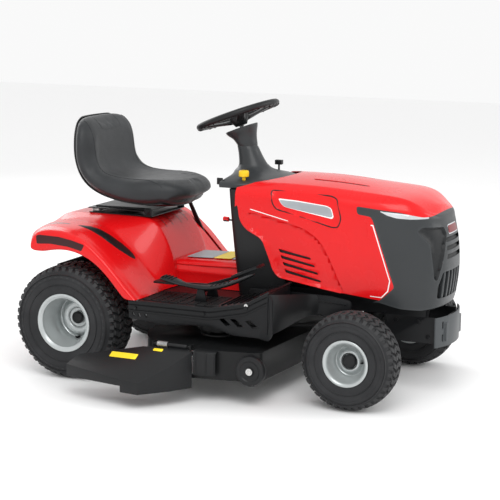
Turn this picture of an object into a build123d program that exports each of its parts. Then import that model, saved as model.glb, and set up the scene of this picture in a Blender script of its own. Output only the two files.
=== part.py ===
"""Riding lawn mower: side-discharge lawn tractor with a twin-blade deck.

Frame: millimetres, +X forward, +Y to the operator's left, +Z up. The origin is on
the ground, on the centre plane, midway between the two axles.
"""
from build123d import *
from math import radians, sin, cos
import os

# ---------------------------------------------------------------- driving dimensions
WHEELBASE = 1172.0
REAR_X = -WHEELBASE / 2
FRONT_X = WHEELBASE / 2

REAR_TYRE_R = 227.0
REAR_TYRE_WIDTH = 208.0
REAR_WHEEL_Y = 384.0
REAR_BEAD_R = 101.6
REAR_RIM_WIDTH = 177.0
REAR_LIP_R = 115.5

FRONT_TYRE_R = 186.0
FRONT_TYRE_WIDTH = 148.0
FRONT_WHEEL_Y = 383.0
FRONT_BEAD_R = 76.2
FRONT_RIM_WIDTH = 127.0
FRONT_LIP_R = 87.3

AXLE_SHAFT_R = 9.5
FIT = 0.05

RAIL_Y = 125.0
RAIL_BOTTOM = 316.0
RAIL_TOP = 386.0
RAIL_REAR = -800.0
RAIL_FRONT = 790.0
SHEET = 4.0

KINGPIN_Y = 262.0
KINGPIN_R = 10.0
AXLE_PIVOT_Z = 236.0
STEER_ARM = 75.0
ARM_BOTTOM = 266.4
ARM_TOP = 274.4
TIE_ROD_Z = 260.0
DRAG_LINK_Z = 281.0

WHEEL_CENTRE = (-52.0, 0.0, 1036.0)
COLUMN_TILT = 20.9
UNIVERSAL_Z = 480.0
PINION_R = 15.5
SECTOR_PIVOT_Y = -112.0
SECTOR_BOTTOM = 256.0
SECTOR_TOP = 264.0

CRANK_X = 436.0
CRANK_R = 12.7
TRANSAXLE_PULLEY_X = -540.0
DRIVE_BELT_Z = 302.0
DECK_BELT_Z = 238.0
BELT_HEIGHT = 10.0

DECK_TOP = 203.0
DECK_BOTTOM = 92.0
BLADE_RIGHT = (-5.0, -268.0)
BLADE_LEFT = (45.0, 268.0)
BLADE_R = 263.0
DECK_WALL_R = 281.0
SPINDLE_R = 12.5
SCALP_X = 250.0
SCALP_Y = 540.0
SCALP_Z = 143.0
SCALP_R = 47.0
CHUTE_HINGE_Y = -560.0
CHUTE_HINGE_Z = 212.0

ROCKSHAFT_X = -300.0
ROCKSHAFT_Z = 280.0
LIFT_ARM = 162.0
LIFT_ARM_Y = 184.0
LIFT_LEVER_Y = 405.0

HOOD_PIVOT = (810.0, 365.0)
HOOD_LUG_Y = 88.0
SEAT_PIVOT = (-375.0, 640.0)

COLUMN_UP = Vector(-sin(radians(COLUMN_TILT)), 0, cos(radians(COLUMN_TILT)))
UNIVERSAL_X = WHEEL_CENTRE[0] + (WHEEL_CENTRE[2] - UNIVERSAL_Z) * sin(radians(COLUMN_TILT)) / cos(
    radians(COLUMN_TILT)
)
SIDES = {"right": -1, "left": 1}

os.makedirs("parts", exist_ok=True)


def save(name, part):
    """Label a finished piece and write its STEP file."""
    part.label = name
    export_step(part, f"parts/{name}.step")


# ---------------------------------------------------------------- shared shapes
def prism(points, plane, depth):
    """A straight-sided solid from a closed outline on a plane."""
    with BuildPart() as body:
        with BuildSketch(plane):
            with BuildLine():
                Polyline(*points, close=True)
            make_face()
        extrude(amount=depth)
    return body.part


def side_prism(points, y_low, y_high):
    """An outline in x and z, carried across from y_low to y_high."""
    across = Plane(origin=(0, y_high, 0), x_dir=(1, 0, 0), z_dir=(0, -1, 0))
    return prism(points, across, y_high - y_low)


def block(low, high):
    """A rectangular block between two opposite corners."""
    with BuildPart() as body:
        with BuildSketch(Plane.XY.offset(low[2])):
            with Locations(((low[0] + high[0]) / 2, (low[1] + high[1]) / 2)):
                Rectangle(high[0] - low[0], high[1] - low[1])
        extrude(amount=high[2] - low[2])
    return body.part


def rod(start, end, radius, bore=0):
    """A round bar, or a tube where it has a bore, between two points."""
    along = Vector(*end) - Vector(*start)
    with BuildPart() as body:
        with BuildSketch(Plane(origin=start, z_dir=along)):
            Circle(radius)
            if bore:
                Circle(bore, mode=Mode.SUBTRACT)
        extrude(amount=along.length)
    return body.part


def turned(centre, points):
    """A solid of revolution about the Y direction through centre.

    Each point is a radius and a distance along +Y from centre.
    """
    with BuildPart() as body:
        with BuildSketch(Plane(origin=centre, x_dir=(1, 0, 0), z_dir=(0, 0, 1))):
            with BuildLine():
                Polyline(*points, close=True)
            make_face()
        revolve(axis=Axis(centre, (0, 1, 0)))
    return body.part


def hull_plate(circles, z_low, z_high):
    """A plate whose outline is the taut band round a set of circles."""
    with BuildPart() as body:
        with BuildSketch(Plane.XY.offset(z_low)):
            for x, y, radius in circles:
                with Locations((x, y)):
                    Circle(radius)
            make_hull()
        extrude(amount=z_high - z_low)
    return body.part


# ---------------------------------------------------------------- wheels
def tyre(centre, radius, width, bead, rim_width, lip):
    """A hollow tyre: rounded side walls, a crowned tread and two beads."""
    half = width / 2
    seat = rim_width / 2
    drop = 13.0
    wall = 9.0
    shoulder = (radius - drop, half - drop)
    with BuildPart() as body:
        with BuildSketch(Plane(origin=centre, x_dir=(1, 0, 0), z_dir=(0, 0, 1))):
            with BuildLine():
                for s in (1, -1):
                    Line((bead, s * (seat - wall)), (bead, s * seat))
                    Line((bead, s * seat), (lip + 0.5, s * seat))
                    ThreePointArc(
                        (lip + 0.5, s * seat),
                        ((bead + radius) / 2, s * half),
                        (shoulder[0], s * shoulder[1]),
                    )
                    ThreePointArc(
                        (bead, s * (seat - wall)),
                        ((bead + radius) / 2, s * (half - wall)),
                        (radius - drop - wall, s * (shoulder[1] - wall)),
                    )
                ThreePointArc(shoulder, (radius, 0), (shoulder[0], -shoulder[1]))
                ThreePointArc(
                    (radius - drop - wall, shoulder[1] - wall),
                    (radius - wall, 0),
                    (radius - drop - wall, wall - shoulder[1]),
                )
            make_face()
        revolve(axis=Axis(centre, (0, 1, 0)))
    return body.part


def rim(centre, side, bead, rim_width, lip, disc_at, hub_from, hub_to, bore):
    """A pressed-steel rim: two flanges, a dropped barrel, a stepped disc and a hub tube."""
    seat = rim_width / 2
    steel = 3.0
    drop = bead - 14
    barrel = [
        (lip, side * (seat + steel)),
        (lip, side * seat),
        (bead, side * seat),
        (bead, side * (seat - 20)),
        (drop, side * (seat - 34)),
        (drop, -side * (seat - 34)),
        (bead, -side * (seat - 20)),
        (bead, -side * seat),
        (lip, -side * seat),
        (lip, -side * (seat + steel)),
        (bead - steel, -side * (seat + steel)),
        (bead - steel, -side * (seat - 19)),
        (drop - steel, -side * (seat - 33)),
        (drop - steel, side * (seat - 33)),
        (bead - steel, side * (seat - 19)),
        (bead - steel, side * (seat + steel)),
    ]
    hub = 20.0
    web = drop - hub
    steps = [
        (drop - steel + 1, disc_at - 8),
        (drop - 0.2 * web, disc_at - 8),
        (drop - 0.3 * web, disc_at + 8),
        (drop - 0.6 * web, disc_at + 8),
        (hub + 0.15 * web, disc_at - 2),
        (hub - 1, disc_at - 2),
    ]
    front = [(r, side * o) for r, o in steps]
    back = [(r, side * (o - steel)) for r, o in reversed(steps)]
    tube = [
        (bore, side * hub_from),
        (hub, side * hub_from),
        (hub, side * hub_to),
        (bore, side * hub_to),
    ]
    with BuildPart() as body:
        add(turned(centre, barrel))
        add(turned(centre, front + back))
        add(turned(centre, tube))
    return body.part


SHAFT_BORE = AXLE_SHAFT_R + FIT
for name, side in SIDES.items():
    centre = (REAR_X, side * REAR_WHEEL_Y, REAR_TYRE_R)

    # rear tyre
    with BuildPart() as rear_tyre:
        add(tyre(centre, REAR_TYRE_R, REAR_TYRE_WIDTH, REAR_BEAD_R, REAR_RIM_WIDTH, REAR_LIP_R))
    save(f"rear_tyre_{name}", rear_tyre.part)

    # rear rim, keyed to its axle shaft and closed by a cap
    cap = [(0, side * -25.9), (0, side * -12.0), (20, side * -14.0), (25, side * -22.0)]
    cap.append((25, side * -25.9))
    with BuildPart() as rear_rim:
        add(rim(centre, side, REAR_BEAD_R, REAR_RIM_WIDTH, REAR_LIP_R, -30.0, -92.0, -26.0, SHAFT_BORE))
        add(turned(centre, cap))
        add(rod((REAR_X, side * 118.0, REAR_TYRE_R), (REAR_X, side * 358.0, REAR_TYRE_R), AXLE_SHAFT_R))
    save(f"rear_rim_{name}", rear_rim.part)

    centre = (FRONT_X, side * FRONT_WHEEL_Y, FRONT_TYRE_R)

    # front tyre
    with BuildPart() as front_tyre:
        add(tyre(centre, FRONT_TYRE_R, FRONT_TYRE_WIDTH, FRONT_BEAD_R, FRONT_RIM_WIDTH, FRONT_LIP_R))
    save(f"front_tyre_{name}", front_tyre.part)

    # front rim, free on its stub axle and closed by a cap
    cap = [(0, side * 21.0), (0, side * 29.0), (22, side * 27.0), (27, side * 19.0), (27, side * 15.0)]
    cap += [(20.1, side * 15.0), (20.1, side * 21.0)]
    with BuildPart() as front_rim:
        add(
            rim(
                centre, side, FRONT_BEAD_R, FRONT_RIM_WIDTH, FRONT_LIP_R, 8.0, -70.0, 20.0, SHAFT_BORE
            )
        )
        add(turned(centre, cap))
    save(f"front_rim_{name}", front_rim.part)


# ---------------------------------------------------------------- front axle and steering
BEAM_HALF = 25.0
BEAM_LOW = 214.0
BEAM_HIGH = 258.0
BOSS_R = 19.0
BOSS_LOW = 208.0
BOSS_HIGH = 266.0
AXLE_PIN_R = 10.0

# swinging front axle beam, with a fore-and-aft pivot tube and two kingpin bosses
with BuildPart() as front_axle_beam:
    with BuildSketch(Plane.XZ.offset(-(KINGPIN_Y - 10))):
        with Locations((FRONT_X, (BEAM_LOW + BEAM_HIGH) / 2)):
            Rectangle(2 * BEAM_HALF, BEAM_HIGH - BEAM_LOW)
            Rectangle(2 * BEAM_HALF - 8, BEAM_HIGH - BEAM_LOW - 8, mode=Mode.SUBTRACT)
    extrude(amount=2 * (KINGPIN_Y - 10))
    add(rod((FRONT_X - 38, 0, AXLE_PIVOT_Z), (FRONT_X + 38, 0, AXLE_PIVOT_Z), 20))
    add(
        rod((FRONT_X - 40, 0, AXLE_PIVOT_Z), (FRONT_X + 40, 0, AXLE_PIVOT_Z), AXLE_PIN_R + FIT),
        mode=Mode.SUBTRACT,
    )
    for side in SIDES.values():
        add(rod((FRONT_X, side * KINGPIN_Y, BOSS_LOW), (FRONT_X, side * KINGPIN_Y, BOSS_HIGH), BOSS_R))
        add(
            rod(
                (FRONT_X, side * KINGPIN_Y, BOSS_LOW - 1),
                (FRONT_X, side * KINGPIN_Y, BOSS_HIGH + 1),
                KINGPIN_R + FIT,
            ),
            mode=Mode.SUBTRACT,
        )
save("front_axle_beam", front_axle_beam.part)

# steering knuckles: kingpin, stub axle and arms
ARM_END_X = FRONT_X - STEER_ARM
for name, side in SIDES.items():
    kingpin_y = side * KINGPIN_Y
    with BuildPart() as knuckle:
        add(rod((FRONT_X, kingpin_y, 158), (FRONT_X, kingpin_y, ARM_TOP), KINGPIN_R))
        add(rod((FRONT_X, kingpin_y, 160), (FRONT_X, kingpin_y, BOSS_LOW - 0.4), 18))
        add(rod((FRONT_X, kingpin_y, FRONT_TYRE_R), (FRONT_X, side * 403.0, FRONT_TYRE_R), AXLE_SHAFT_R))
        add(hull_plate([(FRONT_X, kingpin_y, 18), (ARM_END_X, kingpin_y, 12)], ARM_BOTTOM, ARM_TOP))
        add(rod((ARM_END_X, kingpin_y, 250), (ARM_END_X, kingpin_y, ARM_BOTTOM), 5))
        if name == "right":
            link_y = kingpin_y + STEER_ARM
            add(hull_plate([(FRONT_X, kingpin_y, 18), (FRONT_X, link_y, 12)], ARM_BOTTOM, ARM_TOP))
            add(rod((FRONT_X, link_y, ARM_TOP), (FRONT_X, link_y, 292), 5))
    save(f"knuckle_{name}", knuckle.part)

# tie rod between the two rearward arms
with BuildPart() as tie_rod:
    add(
        rod(
            (ARM_END_X, -(KINGPIN_Y - 8), TIE_ROD_Z),
            (ARM_END_X, KINGPIN_Y - 8, TIE_ROD_Z),
            5.5,
        )
    )
    for side, bore in ((-1, 5 + FIT), (1, 5.5)):
        add(rod((ARM_END_X, side * KINGPIN_Y, 254), (ARM_END_X, side * KINGPIN_Y, 266), 11))
        add(
            rod((ARM_END_X, side * KINGPIN_Y, 253), (ARM_END_X, side * KINGPIN_Y, 267), bore),
            mode=Mode.SUBTRACT,
        )
save("tie_rod", tie_rod.part)

# drag link from the steering sector to the right knuckle
LINK_FRONT = (FRONT_X, STEER_ARM - KINGPIN_Y, DRAG_LINK_Z)
LINK_REAR = (UNIVERSAL_X, SECTOR_PIVOT_Y + STEER_ARM, DRAG_LINK_Z)
EYE_BORE = 9.0
with BuildPart() as drag_link:
    add(rod(LINK_REAR, LINK_FRONT, 5))
    for end, bore in ((LINK_FRONT, 5 + FIT), (LINK_REAR, EYE_BORE)):
        add(rod((end[0], end[1], DRAG_LINK_Z - 6), (end[0], end[1], DRAG_LINK_Z + 6), bore + 6))
        add(
            rod((end[0], end[1], DRAG_LINK_Z - 7), (end[0], end[1], DRAG_LINK_Z + 7), bore),
            mode=Mode.SUBTRACT,
        )
save("drag_link", drag_link.part)

# steering sector: a fan plate with a window whose outer edge the pinion runs along
SECTOR_PLANE = Plane(origin=(UNIVERSAL_X, SECTOR_PIVOT_Y, SECTOR_BOTTOM))
WINDOW_INNER = 94.0
WINDOW_OUTER = 128.5
with BuildPart() as steering_sector:
    with BuildSketch(SECTOR_PLANE):
        Circle(144)
        with BuildLine():
            Polyline((0, -40), (-170, 150), (-170, 260), (170, 260), (170, 150), close=True)
        make_face(mode=Mode.INTERSECT)
        Circle(28)
        Circle(8 + FIT, mode=Mode.SUBTRACT)
    extrude(amount=SECTOR_TOP - SECTOR_BOTTOM)
    with BuildSketch(SECTOR_PLANE):
        Circle(WINDOW_OUTER)
        Circle(WINDOW_INNER, mode=Mode.SUBTRACT)
        with BuildLine():
            Polyline((0, 0), (-152, 190), (152, 190), close=True)
        make_face(mode=Mode.INTERSECT)
    extrude(amount=SECTOR_TOP - SECTOR_BOTTOM, mode=Mode.SUBTRACT)
    add(rod((LINK_REAR[0], LINK_REAR[1], SECTOR_TOP), (LINK_REAR[0], LINK_REAR[1], 296), 5))
save("steering_sector", steering_sector.part)

# lower steering shaft with its pinion and the ball of the universal joint
LOWER_SHAFT_R = 9.0
with BuildPart() as steering_pinion:
    add(rod((UNIVERSAL_X, 0, 250), (UNIVERSAL_X, 0, UNIVERSAL_Z), LOWER_SHAFT_R))
    add(rod((UNIVERSAL_X, 0, SECTOR_BOTTOM - 2), (UNIVERSAL_X, 0, SECTOR_TOP + 2), PINION_R))
    add(rod((UNIVERSAL_X, 0, UNIVERSAL_Z - 40), (UNIVERSAL_X, 0, UNIVERSAL_Z - 12), 14))
    with Locations((UNIVERSAL_X, 0, UNIVERSAL_Z)):
        Sphere(11)
save("steering_pinion", steering_pinion.part)

# upper steering shaft, ending just above the universal joint
UNIVERSAL = Vector(UNIVERSAL_X, 0, UNIVERSAL_Z)
with BuildPart() as steering_shaft:
    add(rod(UNIVERSAL + COLUMN_UP * 12, Vector(*WHEEL_CENTRE) - COLUMN_UP * 22, AXLE_SHAFT_R))
    add(rod(UNIVERSAL + COLUMN_UP * 12, UNIVERSAL + COLUMN_UP * 40, 14))
save("steering_shaft", steering_shaft.part)

# steering wheel: rim, three spokes and a hub that takes the shaft
RIM_R = 161.0
GRIP_R = 13.0
HUB_R = 36.0
WHEEL_PLANE = Plane(origin=WHEEL_CENTRE, x_dir=(0, 1, 0), z_dir=COLUMN_UP)
with BuildPart(WHEEL_PLANE) as steering_wheel:
    Torus(RIM_R, GRIP_R)
    with BuildSketch(WHEEL_PLANE.offset(-12)):
        with PolarLocations(RIM_R / 2 + 5, 3, start_angle=90):
            Rectangle(RIM_R - 20, 38)
    extrude(amount=8)
    with BuildSketch(WHEEL_PLANE.offset(-44)):
        Circle(HUB_R)
    extrude(amount=52, taper=-4)
    with BuildSketch(WHEEL_PLANE.offset(-44)):
        Circle(AXLE_SHAFT_R)
    extrude(amount=22, mode=Mode.SUBTRACT)
save("steering_wheel", steering_wheel.part)

# ---------------------------------------------------------------- chassis
OUTRIGGER_Z = 322.0
CROSS_Z = 316.0
# welded frame: two channel rails, engine plate, steering bridge, outriggers and rear web
with BuildPart() as frame_rails:
    for side in SIDES.values():
        web_in = side * (RAIL_Y - SHEET)
        web_out = side * RAIL_Y
        lip = side * (RAIL_Y - 28)
        low_y, high_y = sorted((web_in, web_out))
        add(block((RAIL_REAR, low_y, RAIL_BOTTOM), (RAIL_FRONT, high_y, RAIL_TOP)))
        low_y, high_y = sorted((lip, web_out))
        add(block((RAIL_REAR, low_y, RAIL_TOP - SHEET), (RAIL_FRONT, high_y, RAIL_TOP)))
        add(block((RAIL_REAR, low_y, RAIL_BOTTOM), (RAIL_FRONT, high_y, RAIL_BOTTOM + SHEET)))
        for x in (-215, 20):
            low_y, high_y = sorted((web_out, side * 455))
            add(block((x - 15, low_y, OUTRIGGER_Z), (x + 15, high_y, OUTRIGGER_Z + 20)))
    add(block((300, -RAIL_Y, RAIL_TOP), (700, RAIL_Y, RAIL_TOP + SHEET)))
    add(rod((CRANK_X, 0, RAIL_TOP - 1), (CRANK_X, 0, RAIL_TOP + SHEET + 1), 24), mode=Mode.SUBTRACT)
    add(block((UNIVERSAL_X - 30, -RAIL_Y, CROSS_Z), (UNIVERSAL_X + 30, RAIL_Y, CROSS_Z + SHEET)))
    add(
        rod((UNIVERSAL_X, 0, CROSS_Z - 1), (UNIVERSAL_X, 0, CROSS_Z + SHEET + 1), LOWER_SHAFT_R + FIT),
        mode=Mode.SUBTRACT,
    )
    add(rod((UNIVERSAL_X, SECTOR_PIVOT_Y, 248), (UNIVERSAL_X, SECTOR_PIVOT_Y, CROSS_Z), 8))
    add(rod((UNIVERSAL_X, SECTOR_PIVOT_Y, 244), (UNIVERSAL_X, SECTOR_PIVOT_Y, 250), 14))
    add(block((-520, -RAIL_Y, RAIL_TOP), (-440, RAIL_Y, RAIL_TOP + SHEET)))
    add(block((RAIL_REAR, -RAIL_Y, RAIL_BOTTOM), (RAIL_REAR + SHEET, RAIL_Y, RAIL_TOP)))
save("frame_rails", frame_rails.part)

HITCH_HOLE_R = 8.0
HITCH_X = -826.0
HITCH_Z = 262.0
PLATE_HOLE_R = 5.5
# rear plate with a drawbar tongue
with BuildPart() as rear_hitch_plate:
    add(block((RAIL_REAR - 5, -150, HITCH_Z), (RAIL_REAR, 150, 392)))
    add(block((-846, -40, HITCH_Z), (RAIL_REAR - 5, 40, HITCH_Z + 6)))
    add(rod((HITCH_X, 0, HITCH_Z - 1), (HITCH_X, 0, HITCH_Z + 7), HITCH_HOLE_R), mode=Mode.SUBTRACT)
    for y in (-60, 60):
        for z in (336, 366):
            add(rod((RAIL_REAR - 6, y, z), (RAIL_REAR + 1, y, z), PLATE_HOLE_R), mode=Mode.SUBTRACT)
save("rear_hitch_plate", rear_hitch_plate.part)

FORK_Y = 121.0
BUMPER_LOW = 206.0
BUMPER_HIGH = 322.0
BUMPER_END = (838.0, 152.0)
BUMPER_FRONT = 874.0
# front fork under the rails: axle pin in two cross plates, two side plates and the hood pins
with BuildPart() as axle_bracket:
    for x in (FRONT_X - 46, FRONT_X + 40):
        add(block((x, -RAIL_Y, 200), (x + 6, RAIL_Y, RAIL_BOTTOM)))
    add(rod((FRONT_X - 50, 0, AXLE_PIVOT_Z), (FRONT_X + 50, 0, AXLE_PIVOT_Z), AXLE_PIN_R))
    side_plate = [
        (FRONT_X + 46, 215), (838, 215), (838, 316), (797, 316), (802, 345), (820, 350),
        (828, 365), (818, 380), (800, 380), (780, 344), (FRONT_X + 46, 344),
    ]
    for side in SIDES.values():
        low_y, high_y = sorted((side * (FORK_Y - 5), side * FORK_Y))
        add(side_prism(side_plate, low_y, high_y))
        pin_in = side * (HOOD_LUG_Y - 8)
        add(rod((HOOD_PIVOT[0], pin_in, HOOD_PIVOT[1]), (HOOD_PIVOT[0], side * 118, HOOD_PIVOT[1]), 6))
    add(block((833, -FORK_Y, 222), (838, FORK_Y, 300)))
    add(frame_rails.part, mode=Mode.SUBTRACT)
save("axle_bracket", axle_bracket.part)

# bumper: a bowed plate with two upright slots each side
with BuildPart() as front_bumper:
    with BuildSketch(Plane.XY.offset(BUMPER_LOW)):
        with BuildLine():
            ThreePointArc(
                (BUMPER_END[0], -BUMPER_END[1]), (BUMPER_FRONT, 0), (BUMPER_END[0], BUMPER_END[1])
            )
            Line((BUMPER_END[0], BUMPER_END[1]), (BUMPER_END[0] - 5, BUMPER_END[1]))
            ThreePointArc(
                (BUMPER_END[0] - 5, BUMPER_END[1]),
                (BUMPER_FRONT - 5, 0),
                (BUMPER_END[0] - 5, -BUMPER_END[1]),
            )
            Line((BUMPER_END[0] - 5, -BUMPER_END[1]), (BUMPER_END[0], -BUMPER_END[1]))
        make_face()
    extrude(amount=BUMPER_HIGH - BUMPER_LOW)
    for side in SIDES.values():
        for z in (240, 290):
            add(
                block((800, side * 112 - 5, z - 14), (900, side * 112 + 5, z + 14)),
                mode=Mode.SUBTRACT,
            )
        low_y, high_y = sorted((side * 60, side * 100))
        add(block((838, low_y, 226), (866, high_y, 296)))
save("front_bumper", front_bumper.part)

# ---------------------------------------------------------------- fender, footboards and dash
FENDER_HALF = 480.0
SKIN = 4.0
WING_TOP = [
    (-796, 560), (-760, 585), (-700, 596), (-600, 596), (-540, 586),
    (-483, 562), (-395, 490), (-329, 416), (-262, 350),
]
ARCH_EDGE = [
    (-729, 511), (-683, 507), (-669, 520), (-533, 519), (-445, 483), (-379, 421), (-335, 350),
]
PEDESTAL_LOW = 470.0
PEDESTAL_HIGH = 620.0
TUNNEL_HALF = 130.0
TUNNEL_BOTTOM = 349.0


def pedestal(inset):
    """The tapered seat pedestal, drawn in by an inset on every face but the bottom."""
    with BuildPart() as body:
        with BuildSketch(Plane.XY.offset(PEDESTAL_LOW)):
            with Locations((-522, 0)):
                Rectangle(548 - 2 * inset, 470 - 2 * inset)
        with BuildSketch(Plane.XY.offset(PEDESTAL_HIGH - inset)):
            with Locations((-558, 0)):
                Rectangle(418 - 2 * inset, 300 - 2 * inset)
        loft(ruled=True)
    return body.part


# one-piece rear fender: two wings over the tyres, the seat pedestal and the centre tunnel
with BuildPart() as rear_fender:
    wings = [(-806, 400), (-806, 530)] + WING_TOP + [(-262, 346), (-500, 346)]
    add(side_prism(wings, -FENDER_HALF, FENDER_HALF))
    add(pedestal(0))
    tunnel = [(-340, TUNNEL_BOTTOM), (-340, 452), (76, 465), (76, TUNNEL_BOTTOM)]
    add(side_prism(tunnel, -TUNNEL_HALF, TUNNEL_HALF))
    inner_wing = [(x + 2, z - SKIN - 1) for x, z in WING_TOP[:-1]] + [(-268, 349), (-275, 300)]
    wing_hollow = side_prism(
        [(-802, 300), (-802, 530)] + inner_wing, SKIN - FENDER_HALF, FENDER_HALF - SKIN
    )
    add(wing_hollow, mode=Mode.SUBTRACT)
    add(pedestal(SKIN), mode=Mode.SUBTRACT)
    inner_tunnel = [(-420, 300), (-420, 448), (-340, 448), (80, 461), (80, 300)]
    add(side_prism(inner_tunnel, SKIN - TUNNEL_HALF, TUNNEL_HALF - SKIN), mode=Mode.SUBTRACT)
    under_arch = [(-830, 300), (-830, 511)] + ARCH_EDGE + [(-335, 300)]
    for side in SIDES.values():
        low_y, high_y = sorted((side * 245, side * (FENDER_HALF + 1)))
        add(side_prism(under_arch, low_y, high_y), mode=Mode.SUBTRACT)
    add(
        block((-470, LIFT_LEVER_Y - 11, 300), (-283, LIFT_LEVER_Y + 11, 560)),
        mode=Mode.SUBTRACT,
    )
save("rear_fender", rear_fender.part)

BOARD_TOP = 347.0
BOARD_EDGE = 470.0
BOARD_IN = 134.0
RAMP_IN = 246.0
SKIRT_LINE = [
    (-300, 345), (49, 345), (193, 379), (285, 430), (298, 400), (300, 255),
    (247, 253), (141, 250), (49, 279), (-162, 264), (-300, 276),
]
# footboards: flat board, ramp, outer skirt, splash wall and inner side panel
for name, side in SIDES.items():
    flat_low, flat_high = sorted((side * BOARD_IN, side * BOARD_EDGE))
    ramp_low, ramp_high = sorted((side * RAMP_IN, side * BOARD_EDGE))
    skirt_low, skirt_high = sorted((side * (BOARD_EDGE - 5), side * BOARD_EDGE))
    panel_low, panel_high = sorted((side * 216, side * 220))
    with BuildPart() as footboard:
        add(block((-261, flat_low, BOARD_TOP - SKIN), (49, flat_high, BOARD_TOP)))
        ramp = [(49, BOARD_TOP), (193, 381), (276, 427), (280, 424), (195, 377), (49, BOARD_TOP - SKIN)]
        add(side_prism(ramp, ramp_low, ramp_high))
        add(side_prism(SKIRT_LINE, skirt_low, skirt_high))
        add(block((276, ramp_low, 290), (280, ramp_high, 425)))
        add(side_prism([(100, 300), (100, 386), (440, 384), (520, 372), (520, 300)], panel_low, panel_high))
        low_y, high_y = sorted((side * 217, side * 250))
        add(block((276, low_y, 300), (280, high_y, 380)))
        low_y, high_y = sorted((side * 127, side * 218))
        add(block((200, low_y, 330), (260, high_y, 336)))
    save(f"footboard_{name}", footboard.part)


def dash_form(inset):
    """The dash bulkhead: narrow at the floor, wide at the top, open towards the front."""
    with BuildPart() as body:
        with BuildSketch(Plane.XY.offset(BOARD_TOP + 1)):
            with Locations((59 + inset, 0)):
                Rectangle(42, 300 - 2 * inset)
        with BuildSketch(Plane.XY.offset(768)):
            with Locations((25 + inset, 0)):
                Rectangle(42, 468 - 2 * inset)
        loft(ruled=True)
    return body.part


LEVER_PIVOT = (34.0, 640.0)
PARK_Y = -180.0
# dash bulkhead, cut away over the tunnel and slotted for the brake lever
with BuildPart() as dash_cover:
    add(dash_form(0))
    add(dash_form(SKIN), mode=Mode.SUBTRACT)
    add(
        block((-10, -TUNNEL_HALF - 0.5, 300), (120, TUNNEL_HALF + 0.5, 466)),
        mode=Mode.SUBTRACT,
    )
    add(block((0, PARK_Y - 7, 628), (24, PARK_Y + 7, 664)), mode=Mode.SUBTRACT)
save("dash_cover", dash_cover.part)

CONSOLE_X = -18.0
CONSOLE_R = 224.0
CONSOLE_LOW = 770.0
CONSOLE_EDGE = 792.0
CONSOLE_TOP = 838.0


def console_form(inset):
    """The console: a round-nosed base that rises to the foot of the steering column."""
    with BuildPart() as body:
        for low in (CONSOLE_LOW, CONSOLE_EDGE):
            with BuildSketch(Plane.XY.offset(low)):
                with Locations((CONSOLE_X, 0)):
                    Circle(CONSOLE_R - inset)
                with Locations((90, 0)):
                    Rectangle(260 - 2 * inset, 430 - 2 * inset, mode=Mode.INTERSECT)
            if low == CONSOLE_LOW:
                extrude(amount=CONSOLE_EDGE - CONSOLE_LOW)
        with BuildSketch(Plane.XY.offset(CONSOLE_TOP - inset)):
            with Locations((22, 0)):
                Rectangle(116 - 2 * inset, 120 - 2 * inset)
        loft(ruled=True)
    return body.part


THROTTLE_PIVOT = (78.0, 122.0, 776.0)
KEY_Y = -150.0
KEY_Z = 786.0
PTO_PLACE = (52.0, -172.0)
# console moulding with a column hole, a throttle slot and bores for the key and the knob
with BuildPart() as dash_console:
    add(console_form(0))
    add(console_form(SKIN), mode=Mode.SUBTRACT)
    add(block((-60, -190, CONSOLE_LOW - 1), (190, 190, CONSOLE_LOW + SKIN + 1)), mode=Mode.SUBTRACT)
    add(
        rod(
            Vector(*WHEEL_CENTRE) - COLUMN_UP * 320,
            Vector(*WHEEL_CENTRE) - COLUMN_UP * 180,
            AXLE_SHAFT_R + 6,
        ),
        mode=Mode.SUBTRACT,
    )
    add(
        block(
            (THROTTLE_PIVOT[0] - 40, THROTTLE_PIVOT[1] - 6, 780),
            (THROTTLE_PIVOT[0] + 34, THROTTLE_PIVOT[1] + 6, 840),
        ),
        mode=Mode.SUBTRACT,
    )
    add(
        rod((PTO_PLACE[0], PTO_PLACE[1], 760), (PTO_PLACE[0], PTO_PLACE[1], 840), 7 + FIT),
        mode=Mode.SUBTRACT,
    )
    add(rod((-60, KEY_Y, KEY_Z), (10, KEY_Y, KEY_Z), 6 + FIT), mode=Mode.SUBTRACT)
save("dash_console", dash_console.part)

# steering column cowl: an oval tube, waisted below the wheel
with BuildPart() as column_cowl:
    for inset, mode in ((0, Mode.ADD), (SKIN, Mode.SUBTRACT)):
        for z, x, length, width in ((CONSOLE_TOP, 20, 60, 54), (908, -4, 42, 40), (968, -26, 48, 44)):
            with BuildSketch(Plane.XY.offset(z)):
                with Locations((x, 0)):
                    Ellipse(length - inset, width - inset)
        loft(ruled=True, mode=mode)
save("column_cowl", column_cowl.part)

# ---------------------------------------------------------------- hood
HOOD_SKIN = 3.0
NOSE_X = 629.0
NOSE_R = 237.0
# station, half width, shoulder height, crease half width, crease height, crown height
HOOD_STATIONS = [
    (44, 238, 764, 190, 798, 818),
    (300, 238, 762, 190, 802, 819),
    (520, 226, 752, 188, 787, 805),
    (700, 208, 735, 180, 765, 781),
    (800, 190, 705, 160, 716, 740),
    (880, 172, 650, 140, 660, 690),
]
NOSE_LINE = [(830, 722), (850, 640), (862, 560), (866, 477), (858, 400), (840, 340)]
HOOD_EDGE = [
    (51, 768), (56, 710), (69, 645), (91, 619), (158, 585), (184, 524), (206, 467), (227, 442),
    (442, 407), (635, 386), (656, 355), (775, 351), (900, 351),
]
GRILLE_LINE = [
    (539, 735), (640, 727), (800, 714), (812, 718), (900, 718), (900, 300), (630, 300),
    (632, 392), (690, 437), (592, 699), (540, 707),
]
HOOD_FLOOR = 300.0


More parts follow.
